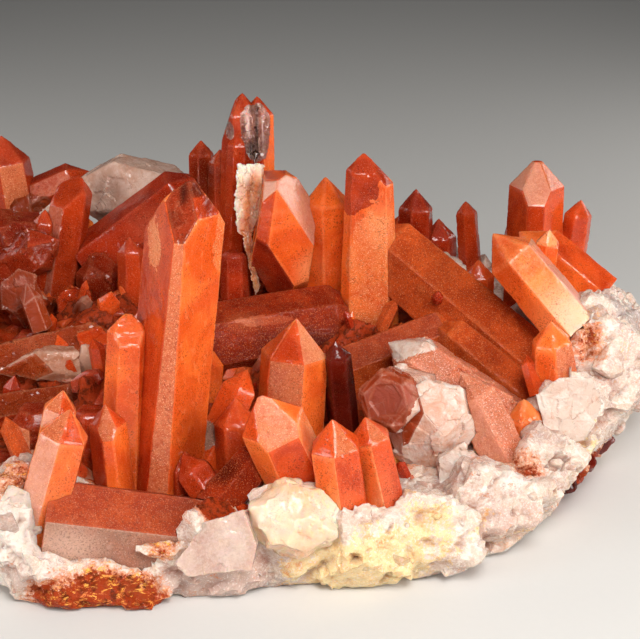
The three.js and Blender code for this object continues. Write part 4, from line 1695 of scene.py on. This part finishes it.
@dataclass
class LyingPrisms(CrystalGroup):
    """The dusted prisms that lie across the bed, and the broken quartz beside them."""

    crystals: tuple[Crystal, ...] = (
        Crystal("big_lying_prism", RUST, slot=Slot.RUST),
        Crystal("crossing_prism", RUST, (Facet(-6, 55, ROSE),), slot=Slot.RUST),
        Crystal("low_lying_prism", RUST, slot=Slot.RUST),
        Crystal(
            "broad_lying_prism", EARTH, patches=(Patch((8.4, -0.4, 25.4), (5.0, 3, 0.8), ROSE, 1.2),),
            shades=(Shade("pale", (4.5, 0, 25.0), (5, 4, 2.2), 0.7), Shade("deep", (14, 0, 20), (16, 6, 6), 0.8)),
            slot=Slot.RUST,
        ),
        Crystal("back_lying_prism", RUST, slot=Slot.RUST),
        Crystal(
            # Its pale TAUPE front face paints the sheen of the front lamp on it.
            "lying_front_prism", ROSE, (Facet(4, -3, TAUPE, 20.0),),
            shades=(Shade("pale", (-22, -54, 10), (9, 6, 6), 0.9), Shade("deep", (4, -46, 13), (18, 7, 6), 0.55)),
            slot=Slot.RUST,
        ),
        # Its "deep" shade is a painted shadow where the prism lies in shade.
        Crystal("diagonal_front_prism", EARTH, shades=(Shade("deep", (3, -42, 17), (5, 4, 4), 0.8),), slot=Slot.RUST),
        Crystal("front_stub_crystals", BRICK, slot=Slot.RUST),
        Crystal(
            "dusty_prism", ASH, patches=(Patch((33.2, -15.4, 28), (5, 4.5, 3), FLINT, 0.8),), slot=Slot.RUST,
            breakage=0.35,
        ),
        Crystal(
            "broken_clear_block", GLASS, (Facet(-27, 20, WINDOW, 6.0),),
            (Patch((28.0, -28.0, 24), (6.5, 7, 7), WINDOW, 0.3),),
            wells=(HexWell((29.3, -30, 24.2), -27, 20, (4.3, 2.7), 0.3),), slot=Slot.CLEAR, grain=0.36, breakage=0.5,
        ),
        Crystal("pale_back_rock", STONE, slot=Slot.MILKY, breakage=0.3),
    )


# ---------------------------------------------------------------- plate


@dataclass(frozen=True)
class Stain:
    """A soft-edged patch of colour on the plate.

    Attributes:
        kind: The mark that it adds to.
        centre: Its middle.
        reach: Its half widths along X, Y and Z.
        strength: How strong it is in the middle.
    """

    kind: str
    centre: Point
    reach: Point
    strength: float = 1.0

    def on(self, points: Array) -> Array:
        """The patch's strength at points: 1 - d * d, where d is the way from the centre over the reach."""
        way = (points - np.array(self.centre)) / np.array(self.reach)
        return self.strength * np.clip(1 - (way * way).sum(axis=1), 0, 1)


@dataclass
class MilkyPlate:
    """The milky quartz that carries the crystals, as one broken and sugary skin.

    Attributes:
        voxel: The side of the skin's squares.
        seat: How far the skin is pushed out, to close on the crystals.
        blocks: Size and depth of the large broken faces.
        lumps: Size and depth of the middle ones.
        sugar: Size and depth of the grains.
        rim: Where the rusty bed ends, as a distance in plan.
        farther: How much farther the rusty bed goes on the left.
        stains: Patches of colour.
        calm: Middles and half sizes of places that larger stones cover, where the skin draws back.
    """

    voxel: float = 0.8
    seat: float = 0.35
    blocks: tuple[float, float] = (6.5, 1.3)
    lumps: tuple[float, float] = (2.8, 0.56)
    sugar: tuple[float, float] = (1.3, 0.22)
    rim: float = 0.78
    farther: float = 0.05
    stains: tuple[Stain, ...] = (
        Stain("ochre", (26, -53, 4), (18, 12, 12), 1.0),
        Stain("ochre", (36, -47, 10), (16, 10, 8), 0.6),
        Stain("ochre", (50, -38, 6), (10, 10, 7), 0.5),
        Stain("ochre", (64, -24, 12), (8, 8, 10), 0.55),
        Stain("ochre", (70, -14, 24), (5, 6, 10), 0.4),
        Stain("rust", (-17, -56, 1), (15, 10, 7), 1.1),
        Stain("rust", (64, -18, 2), (14, 12, 7), 1.2),
        Stain("rust", (2.4, -50.7, 14.8), (5, 4, 5), 1.3),
        Stain("rust", (52.5, -33.4, 13.7), (5, 4, 4), 0.55),
        Stain("rust", (64.8, -14.3, 26.5), (5, 6, 5), 0.5),
        Stain("rust", (-30.8, -48.2, 18.5), (6, 5, 4), 0.6),
        Stain("gold", (-16, -56, 3), (11, 10, 7), 1.4),
        Stain("gold", (0, -56, 9), (4, 5, 4), 0.9),
        Stain("gold", (-7, -54, 10), (4, 4, 3), 1.1),
        Stain("rust", (-7, -54, 10), (4, 4, 3), 0.6),
        Stain("gold", (-30, -46, 19), (5, 5, 5), 1.0),
        Stain("gold", (66, -12, 30), (3, 5, 6), 0.9),
        Stain("gold", (46, -42, 4), (10, 6, 4), 0.5),
        Stain("gold", (31, -27, 13), (7, 6, 5), 1.1),
        Stain("white", (-34, -52, 10), (15, 14, 12), 1.0),
        Stain("white", (50, -36, 15), (9, 8, 6), 0.7),
        Stain("white", (66, -18, 26), (10, 12, 14), 0.4),
        Stain("grey", (76, -6, 32), (8, 12, 8), 1.0),
        Stain("grey", (2, -55, 2.4), (18, 10, 4.5), 1.1),
        Stain("lilac", (48, -42, 8), (12, 9, 7), 0.7),
        Stain("lilac", (43, -36, 13), (7, 6, 6), 0.8),
        Stain("lilac", (57, -25, 17), (9, 9, 8), 0.8),
        Stain("lilac", (70, -14, 24), (7, 8, 6), 0.6),
        Stain("lilac", (2, -54, 4), (16, 8, 6), 1.0),
        Stain("lilac", (-28, -55, 5), (7, 6, 5), 0.9),
    )
    calm: tuple[tuple[Point, Point], ...] = (
        ((13.4, -50, 11), (9.5, 8, 9)),
        ((2.0, -53, 9.4), (7.5, 7, 8)),
        ((61.5, -23, 18.4), (6.5, 5, 6.5)),
    )

    def skin(self, frame: dict) -> Shell:
        """Builds the skin.

        The CAD solid gets an even skin, which is pushed along its softened normals by
        the three chip reliefs and a cloud. The underside keeps its plane.


        Returns:
            The skin.
        """
        shell = voxel_skin(Shell.from_object(frame["nodes"]["milky_quartz_plate"]), mesh_size(self.voxel))
        points = shell.points
        warped = points + 1.2 * np.stack([clouds(points, 4.0, s, 2) for s in (61, 62, 63)], axis=1)
        amount = self.seat + 0.4 * clouds(points, 9.0, 3, 4)
        for (width, depth), seed in zip((self.blocks, self.lumps, self.sugar), (21, 22, 23)):
            amount += depth * chips(warped, width, seed)[0]
        amount *= np.clip(points[:, 2] / 1.5, 0, 1)
        for centre, reach in self.calm:
            inside = np.clip(2 - 2 * np.linalg.norm((points - np.array(centre)) / reach, axis=1), 0, 1)
            amount = amount * (1 - inside) - 0.9 * inside
        out = shell.pushed(amount, 2)
        out.points[:, 2] = np.maximum(out.points[:, 2], 0.0)
        return out

    def marks(self, shell: Shell) -> dict[str, Array]:
        """The stains and hollows on the skin's corners.

        A hollow is where a corner lies below the mean of the corners around it; the
        rock's finish paints shade there.

        Args:
            shell: The finished skin.

        Returns:
            One array of numbers from 0 to 1 for each mark.
        """
        out = self.stained(shell.points)
        normal = shell.normals()
        around = np.stack([shell.spread(shell.points[:, i], 6) for i in range(3)], axis=1)
        depth = ((around - shell.points) * normal).sum(axis=1)
        out["hollow"] = np.clip(depth * 1.8, 0, 1)
        return out

    def stained(self, points: Array) -> dict[str, Array]:
        """The stains at points; the bed is rusty wherever the distance in plan is less than `rim`.

        Args:
            points: Where, shape (n, 3).

        Returns:
            One array of numbers for each kind.
        """
        out = {key: np.zeros(len(points)) for key in ("ochre", "rust", "white", "grey", "lilac", "gold")}
        for stain in self.stains:
            out[stain.kind] = np.maximum(out[stain.kind], stain.on(points))
        rim = self.rim + self.farther * (points[:, 0] < 0)
        bed = np.clip((rim - plan(points)) * 9 + 0.3 * clouds(points, 6.0, 15, 3), 0, 1.4)
        bed *= np.clip((points[:, 2] - 6) / 4, 0, 1)
        out["rust"] = np.maximum(out["rust"], bed)
        return out

    def build(self, frame: dict) -> Shell:
        """Makes the plate, dresses it and lets it stand for its node.


        Returns:
            The plate's skin.
        """
        shell = self.skin(frame)
        piece = shell.object("milky_quartz_skin", [made(MilkyRock())], self.marks(shell), 30.0)
        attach(piece, BODY)
        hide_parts("milky_quartz_plate")
        LOG.info("%s: %d triangles", piece.name, len(shell.faces))
        return shell


# ---------------------------------------------------------------- small stones and crystals


@dataclass
class LooseStones:
    """The small broken stones, druse and shards that crowd round the crystals.

    Attributes:
        blocks: How many larger chunks stand out of the rim.
        block_size: A chunk's least size, and how much more the largest has.
        rubble: How many grains stand out of it.
        grain_size: A grain's least size, and how much more the largest has.
        shards: How many glassy splinters lie on the bed.
        druse: How many small crystals grow between the large ones.
        rim: The distance in plan where the rim begins.
        grain: The longest side of a triangle on the flat pieces.
        seed: Picks their places.
    """

    blocks: int = 120
    block_size: tuple[float, float] = (1.5, 3.0)
    rubble: int = 1000
    grain_size: tuple[float, float] = (0.4, 1.1)
    shards: int = 220
    druse: int = 380
    rim: float = 0.8
    grain: float = 0.5
    seed: int = 11

    def places(self, plate: Shell, chosen: Array, count: int, seed: int) -> tuple[Array, Array]:
        """Picks corners of the plate's skin at random.

        Args:
            plate: The plate's skin.
            chosen: Which corners may be picked.
            count: How many are picked.
            seed: Picks them.

        Returns:
            The places and the skin's normals there.
        """
        rng = np.random.default_rng(seed)
        numbers = rng.choice(np.nonzero(chosen)[0], count)
        return plate.points[numbers], plate.normals()[numbers]

    def settle(self, piece: Piece) -> Piece:
        """Lets a piece ride with the cluster.

        Args:
            piece: The piece.

        Returns:
            The same piece.
        """
        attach(piece, BODY)
        LOG.info("%s: %d triangles", piece.name, len(piece.data.polygons))
        return piece

    def rim_stones(self, plate: Shell, marks: MilkyPlate, large: bool) -> Piece:
        """Broken chunks or grains of milky quartz that stand out of the rim.

        Each is sunk into the skin by half its size; its inner half carries the mark
        "hollow", which paints shade where it meets the skin.

        Args:
            plate: The plate's skin.
            marks: The plate, for its stains.
            large: Chunks if true, else grains.

        Returns:
            The piece.
        """
        seed = self.seed + (0 if large else 40)
        count = self.blocks if large else self.rubble
        p = plate.points
        chosen = (plan(p) > self.rim) & (p[:, 2] > 1.2)
        for centre, reach in marks.calm:
            chosen &= np.linalg.norm((p - np.array(centre)) / reach, axis=1) > 0.85
        spots, normal = self.places(plate, chosen, count, seed)
        rng = np.random.default_rng(seed + 1)
        least, more = self.block_size if large else self.grain_size
        size = least + more * rng.random((count, 1)) ** 2
        radii = size * (0.65 + 0.7 * rng.random((count, 3)))
        shell, number = chunks(spots - normal * size * 0.45, radii, seed + 2, 3 if large else 1, 0.5)
        shell.points[:, 2] = np.maximum(shell.points[:, 2], 0.05)
        stains = marks.stained(shell.points)
        # Painted shade round the foot of each stone, where it meets the skin.
        height = ((shell.points - spots[number]) * normal[number]).sum(axis=1) / size[number, 0]
        stains["hollow"] = np.clip(0.35 - height, 0, 0.7)
        name = "rim_blocks" if large else "rim_grains"
        return self.settle(shell.object(name, [made(MilkyRock())], stains, 18.0 if large else None))

    def bed_shards(self, plate: Shell) -> Piece:
        """Glassy splinters on the left part of the bed.

        Args:
            plate: The plate's skin.

        Returns:
            The piece.
        """
        p = plate.points
        level = plate.normals()[:, 2] > 0.35
        left = (p[:, 0] < -8) & (p[:, 0] > -62)
        spots, normal = self.places(plate, (plan(p) < self.rim) & level & left, self.shards, self.seed + 3)
        rng = np.random.default_rng(self.seed + 4)
        size = 1.0 + 2.8 * rng.random((self.shards, 1)) ** 1.6
        radii = size * np.array([1.5, 0.7, 0.7]) * (0.6 + 0.8 * rng.random((self.shards, 3)))
        shell, number = chunks(spots + normal * size * 0.1, radii, self.seed + 5, 2, 0.5)
        finishes = (SHARD, EMBER, BRICK, HUSK, GARNET)
        kind = rng.choice(len(finishes), self.shards, p=(0.24, 0.2, 0.28, 0.06, 0.22))
        shell.tags = kind[number[shell.faces[:, 0]]]
        marks = {"crest": np.clip(shell.crests(20), 0, 1)}
        return self.settle(shell.object("bed_shards", [made(f) for f in finishes], marks, 20.0))

    def bed_druse(self, plate: Shell) -> Piece:
        """Small crystals that grow between the large ones.

        Args:
            plate: The plate's skin.

        Returns:
            The piece.
        """
        chosen = (plan(plate.points) < 0.86) & (plate.normals()[:, 2] > 0.3)
        spots, normal = self.places(plate, chosen, self.druse, self.seed + 6)
        rng = np.random.default_rng(self.seed + 7)
        half = 0.45 + 1.25 * rng.random((self.druse, 1)) ** 2
        length = half * (2.6 + 3.4 * rng.random((self.druse, 1)))
        axes = normal * 0.7 + np.array([0, 0, 0.8]) + rng.normal(size=(self.druse, 3)) * 0.4
        axes /= np.linalg.norm(axes, axis=1, keepdims=True)
        shell = small_crystals(spots - normal * 0.8, axes, np.concatenate([half, length], axis=1), self.seed + 8)
        finishes = (EMBER, FLAME, GARNET, RUST, DUSK)
        kind = rng.choice(len(finishes), self.druse, p=(0.36, 0.18, 0.26, 0.14, 0.06))
        shell.tags = kind[shell.tags]
        marks = {"crest": np.full(len(shell.points), 0.15)}
        return self.settle(shell.object("bed_druse", [made(f) for f in finishes], marks, None))

    def cream_knob(self) -> Piece:
        """The round knob of cream quartz in the middle of the front rim.

        Returns:
            The piece.
        """
        centre, radii = np.array([[14.4, -49.8, 12.8]]), np.array([[7.5, 6.2, 6.1]])
        shell, _ = chunks(centre, radii, 5, level=5, rough=0.12, tumbled=False)
        shell = shell.pushed(0.9 * clouds(shell.points, 3.0, 41, 3) + 0.3 * chips(shell.points, 2.6, 42)[0])
        marks = {
            "crest": np.clip(shell.crests(16), 0, 1) * 0.5,
            "pale": np.clip(0.3 + 0.9 * clouds(shell.points, 4.0, 44, 2), 0, 1),
        }
        return self.settle(shell.object("cream_knob", [made(KNOB)], marks, 30.0))

    def rim_chunks(self) -> Piece:
        """The flat-faced lilac chunk beside the knob, and white ones at the left and right.

        Returns:
            The piece.
        """
        outlines = [
            [(0.1, -54.4, 14.9), (6.4, -53.8, 16.9), (8.5, -55.6, 11.6), (7.7, -56.6, 7.6), (-2.3, -56.8, 6.4),
             (-4.6, -56.4, 8.4)],
            [(55.4, -22.4, 21.4), (59.4, -21.4, 24.2), (65.4, -19.8, 23.4), (67.6, -20.0, 18.6), (64.4, -23.2, 12.6),
             (57.6, -25.2, 14.2)],
            [(-31.0, -49.6, 19.2), (-27.6, -49.8, 17.8), (-25.8, -51.8, 12.0), (-29.6, -53.4, 9.0),
             (-33.6, -51.6, 13.4)],
            [(38.0, -34.6, 15.6), (42.6, -33.4, 18.2), (45.0, -36.2, 13.0), (42.2, -39.2, 8.6), (38.4, -38.6, 9.6)],
        ]
        ways = [(1.6, 6, -2), (1, 7, -3), (1, 5, -2), (0, 6, -2)]
        flat = slabs([np.array(o, float) for o in outlines], [np.array(w, float) for w in ways])
        flat = flat.refined(mesh_size(self.grain))
        crest = np.maximum(flat.crests(), 0)
        rough = np.zeros((len(flat.points), 1))
        rough[flat.faces] = np.array([0.16, 0.3, 0.4, 0.4])[flat.tags][:, None, None]
        amount = 0.12 * clouds(flat.points, 2.4, 46, 3) + rough[:, 0] * chips(flat.points, 2.8, 48)[0]
        tone = np.zeros(len(flat.points))
        tone[flat.faces] = np.array([0.1, 0.5, 0.5, 0.3])[flat.tags][:, None]
        flat = flat.pushed(amount - 0.3 * crest * np.clip(cloud(flat.points, 1.2, 49) + 0.5, 0, 1.4))
        marks = {
            "crest": np.clip(flat.spread(crest, 1) * 1.6, 0, 1),
            "pale": np.clip(tone + 0.5 * clouds(flat.points, 4.0, 47, 3), 0, 1),
        }
        finishes = (LILAC, FLINT, LILAC, FLINT)
        return self.settle(flat.object("rim_chunks", [made(f) for f in finishes], marks, 22.0))

    def bed_slabs(self) -> Piece:
        """Flat glassy pieces that stand among the crystals of the left bed.

        Returns:
            The piece.
        """
        outlines = [
            [(-22.6, -9.0, 19.3), (-20.1, -8.6, 23.1), (-19.7, -8.6, 21.1), (-20.6, -9.4, 15.5), (-23.3, -9.8, 13.7),
             (-23.8, -9.6, 16.4)],
            [(-36.7, 30.0, 35.2), (-34.3, 30.4, 37.2), (-33.0, 30.0, 36.1), (-33.6, 29.0, 32.3), (-36.0, 29.0, 31.9)],
            [(-41.1, 9.0, 29.2), (-37.7, 9.6, 31.8), (-34.4, 9.4, 30.7), (-34.8, 8.0, 26.8), (-38.7, 7.6, 23.7),
             (-41.3, 8.0, 24.8)],
            [(-31.7, 14.0, 24.2), (-29.0, 14.4, 26.5), (-25.2, 14.0, 25.5), (-24.6, 13.0, 20.1), (-28.5, 12.6, 17.8),
             (-31.4, 13.0, 20.1)],
            [(-25.6, -4.0, 24.5), (-21.3, -3.6, 25.9), (-19.2, -4.0, 23.7), (-20.3, -4.6, 21.2), (-24.6, -4.8, 21.3)],
        ]
        ways = [(0.6, 2.4, -4), (0.4, 2.6, -5), (1, 4, -6), (1, 4, -6), (0, 5, -3)]
        shell = slabs([np.array(o, float) for o in outlines], [np.array(w, float) for w in ways])
        shell = shell.refined(mesh_size(self.grain))
        crest = np.maximum(shell.crests(), 0)
        amount = 0.3 * clouds(shell.points, 2.0, 56, 3) + 0.35 * chips(shell.points, 2.6, 58)[0]
        shell = shell.pushed(amount - 0.3 * crest)
        finishes = (HUSK, FLINT, SHARD, BRICK, EMBER)
        marks = {"crest": np.clip(shell.spread(crest, 1) * 1.6, 0, 1)}
        return self.settle(shell.object("bed_slabs", [made(f) for f in finishes], marks, 22.0))

    def dark_stones(self) -> Piece:
        """Dark garnet-red stones under the right rim.

        Returns:
            The piece.
        """
        centres = np.array([[64.4, -18.0, 6.0], [68.6, -12.4, 7.0], [61.4, -23.4, 4.4]])
        radii = np.array([[3.8, 3.2, 2.6], [3.2, 3.2, 2.8], [2.8, 2.6, 2.2]])
        shell, _ = chunks(centres, radii, 29, level=3, rough=0.5, tumbled=False)
        marks = {"crest": np.clip(shell.crests(20), 0, 1) * 0.5}
        return self.settle(shell.object("dark_stones", [made(WINE)], marks, 20.0))

    def single_crystals(self) -> Piece:
        """Small crystals before the right group, on the big lying prism, and on the left bed.

        Returns:
            The piece.
        """
        roots = [[58.6, -1.0, 36.0], [39.6, -0.6, 29.6], [-21.5, 8.0, 20.0], [-33.0, 4.0, 22.0], [-14.8, -13.0, 20.0]]
        axes = [[0.04, -0.2, 1.0], [0.1, -0.5, 0.8], [0.1, -0.2, 1.0], [-0.3, 0.1, 1.0], [0.25, -0.1, 1.0]]
        sizes = [[2.3, 8.6], [1.1, 2.6], [2.2, 9.0], [2.4, 9.5], [1.8, 7.5]]
        way = np.array(axes) / np.linalg.norm(axes, axis=1, keepdims=True)
        shell = small_crystals(np.array(roots), way, np.array(sizes), self.seed + 30).refined(0.5)
        top = shell.points[:, 2] > 41.5
        crest = np.maximum(shell.crests(), 0)
        shell = shell.pushed(0.1 * clouds(shell.points, 1.4, 51, 2) - 0.12 * crest)
        finishes = (FLAME, GARNET, EMBER, SHARD, EMBER)
        marks = {"crest": crest, "pale": np.where(top & (shell.points[:, 0] > 50), 0.85, 0.0)}
        return self.settle(shell.object("single_crystals", [made(f) for f in finishes], marks))

    def build(self, plate: Shell, marks: MilkyPlate) -> list[Piece]:
        """Builds every small piece.

        Args:
            plate: The plate's finished skin, which they stand on.
            marks: The plate, for the stains at each place.

        Returns:
            The pieces.
        """
        return [
            self.rim_stones(plate, marks, large=True),
            self.rim_stones(plate, marks, large=False),
            self.bed_shards(plate),
            self.bed_druse(plate),
            self.cream_knob(),
            self.rim_chunks(),
            self.bed_slabs(),
            self.dark_stones(),
            self.single_crystals(),
        ]


# ---------------------------------------------------------------- studio


@dataclass
class Softbox:
    """One soft lamp.

    Attributes:
        name: Its name.
        azimuth: Where it stands round the specimen, 0 for -Y and 90 for +X.
        elevation: How high it stands, in degrees.
        distance: How far from the specimen it stands.
        width: The side of its square face.
        power: Its power in watts.
        tint: Its colour.
    """

    name: str
    azimuth: float
    elevation: float
    distance: float
    width: float
    power: float
    tint: Colour = (1.0, 0.98, 0.95)

    def build(self, aim: Vector) -> Piece:
        """Hangs the lamp.

        Args:
            aim: The point that it faces, in metres.

        Returns:
            The lamp.
        """
        data = bpy.data.lights.new(self.name, "AREA")
        data.shape = "SQUARE"
        data.size = self.width * MM
        data.energy = self.power
        data.color = self.tint
        lamp = bpy.data.objects.new(self.name, data)
        way = Vector(direction(self.azimuth, self.elevation))
        lamp.location = aim + way * self.distance * MM
        lamp.rotation_euler = way.to_track_quat("Z", "Y").to_euler()
        bpy.context.scene.collection.objects.link(lamp)
        return lamp


@dataclass
class Studio:
    """Camera, lamps and the pale floor.

    Attributes:
        target: The point that the camera looks at.
        elevation: How far the camera stands above the level, in degrees.
        distance: How far the camera is from the target.
        lens: Its focal length.
        sensor: The width of its sensor.
        floor: The half width of the floor.
        lines: How many lines of points the floor has each way.
        lamps: The soft lamps.
        aim: The point that the lamps face.
        sky: The brightness of the even light around.
        sky_tint: Its colour.
    """

    target: Point = (18.43, 8.04, 22.0)
    elevation: float = 24.0
    distance: float = 333.0
    lens: float = 100.0
    sensor: float = 36.0
    floor: float = 2500.0
    lines: int = 9
    lamps: tuple[Softbox, ...] = (
        Softbox("key_lamp", 16, 47, 320, 120, 0.85),
        Softbox("left_lamp", -55, 16, 300, 130, 0.45),
        Softbox("right_lamp", 62, 20, 320, 130, 0.58),
        Softbox("back_left_lamp", -122, 20, 300, 110, 0.09),
        Softbox("back_right_lamp", 124, 14, 300, 110, 0.14),
        Softbox("top_lamp", 10, 82, 900, 700, 0.4),
    )
    aim: Point = (5, -24, 15)
    sky: float = 0.04
    sky_tint: Colour = (0.94, 0.96, 1.0)

    def camera(self) -> Piece:
        """Sets the camera on the arc around its target.

        Returns:
            The camera.
        """
        data = bpy.data.cameras.new("camera")
        data.lens = self.lens
        data.sensor_width = self.sensor
        data.clip_start = 0.01
        data.clip_end = 20.0
        camera = bpy.data.objects.new("camera", data)
        way = Vector(direction(0, self.elevation))
        camera.location = (Vector(self.target) + way * self.distance) * MM
        camera.rotation_euler = way.to_track_quat("Z", "Y").to_euler()
        bpy.context.scene.collection.objects.link(camera)
        bpy.context.scene.camera = camera
        return camera

    def ground(self) -> Piece:
        """Lays the floor: a grid of points that is level everywhere.

        Returns:
            The floor.
        """
        count = self.lines
        line = np.linspace(-self.floor, self.floor, count)
        x, y = np.meshgrid(line, line)
        points = np.stack([x.ravel(), y.ravel(), np.zeros(x.size)], axis=1)
        near = (np.arange(count - 1)[:, None] * count + np.arange(count - 1)).ravel()
        far = near + count
        faces = np.concatenate([np.stack([near, near + 1, far + 1], axis=1), np.stack([near, far + 1, far], axis=1)])
        floor = Shell(points, faces, np.zeros(len(faces), int)).object("floor", [made(StudioPaper())])
        floor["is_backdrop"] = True
        return floor

    def build(self) -> None:
        """Sets up the whole studio."""
        self.camera()
        self.ground()
        for lamp in self.lamps:
            lamp.build(Vector(self.aim) * MM)
        world = bpy.data.worlds.new("studio")
        world.use_nodes = True
        background = world.node_tree.nodes["Background"]
        background.inputs["Color"].default_value = (*self.sky_tint, 1.0)
        background.inputs["Strength"].default_value = self.sky
        scene = bpy.context.scene
        scene.world = world
        scene.view_settings.view_transform = "Standard"
        LOG.info("studio: %d lamps", len(self.lamps))


# ---------------------------------------------------------------- the whole


def corners() -> list[list[float]]:
    """The shown object's lowest and highest corner, as plain numbers."""
    return [list(corner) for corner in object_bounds()]


def main() -> None:
    """Loads the frame, builds and dresses every piece, and sets up the studio."""
    logging.basicConfig(level=logging.INFO, format="%(name)s %(message)s")
    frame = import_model()
    Studio().build()
    groups = (FrontCrystals(), BackCrystals(), RightCrystals(), LeftCrystals(), LyingPrisms())
    for group in groups:
        pieces = group.build(frame)
        LOG.info("%s: %d pieces", type(group).__name__, len(pieces))
    plate = MilkyPlate()
    stones = LooseStones().build(plate.build(frame), plate)
    LOG.info("LooseStones: %d pieces", len(stones))


if __name__ == "__main__":
    main()
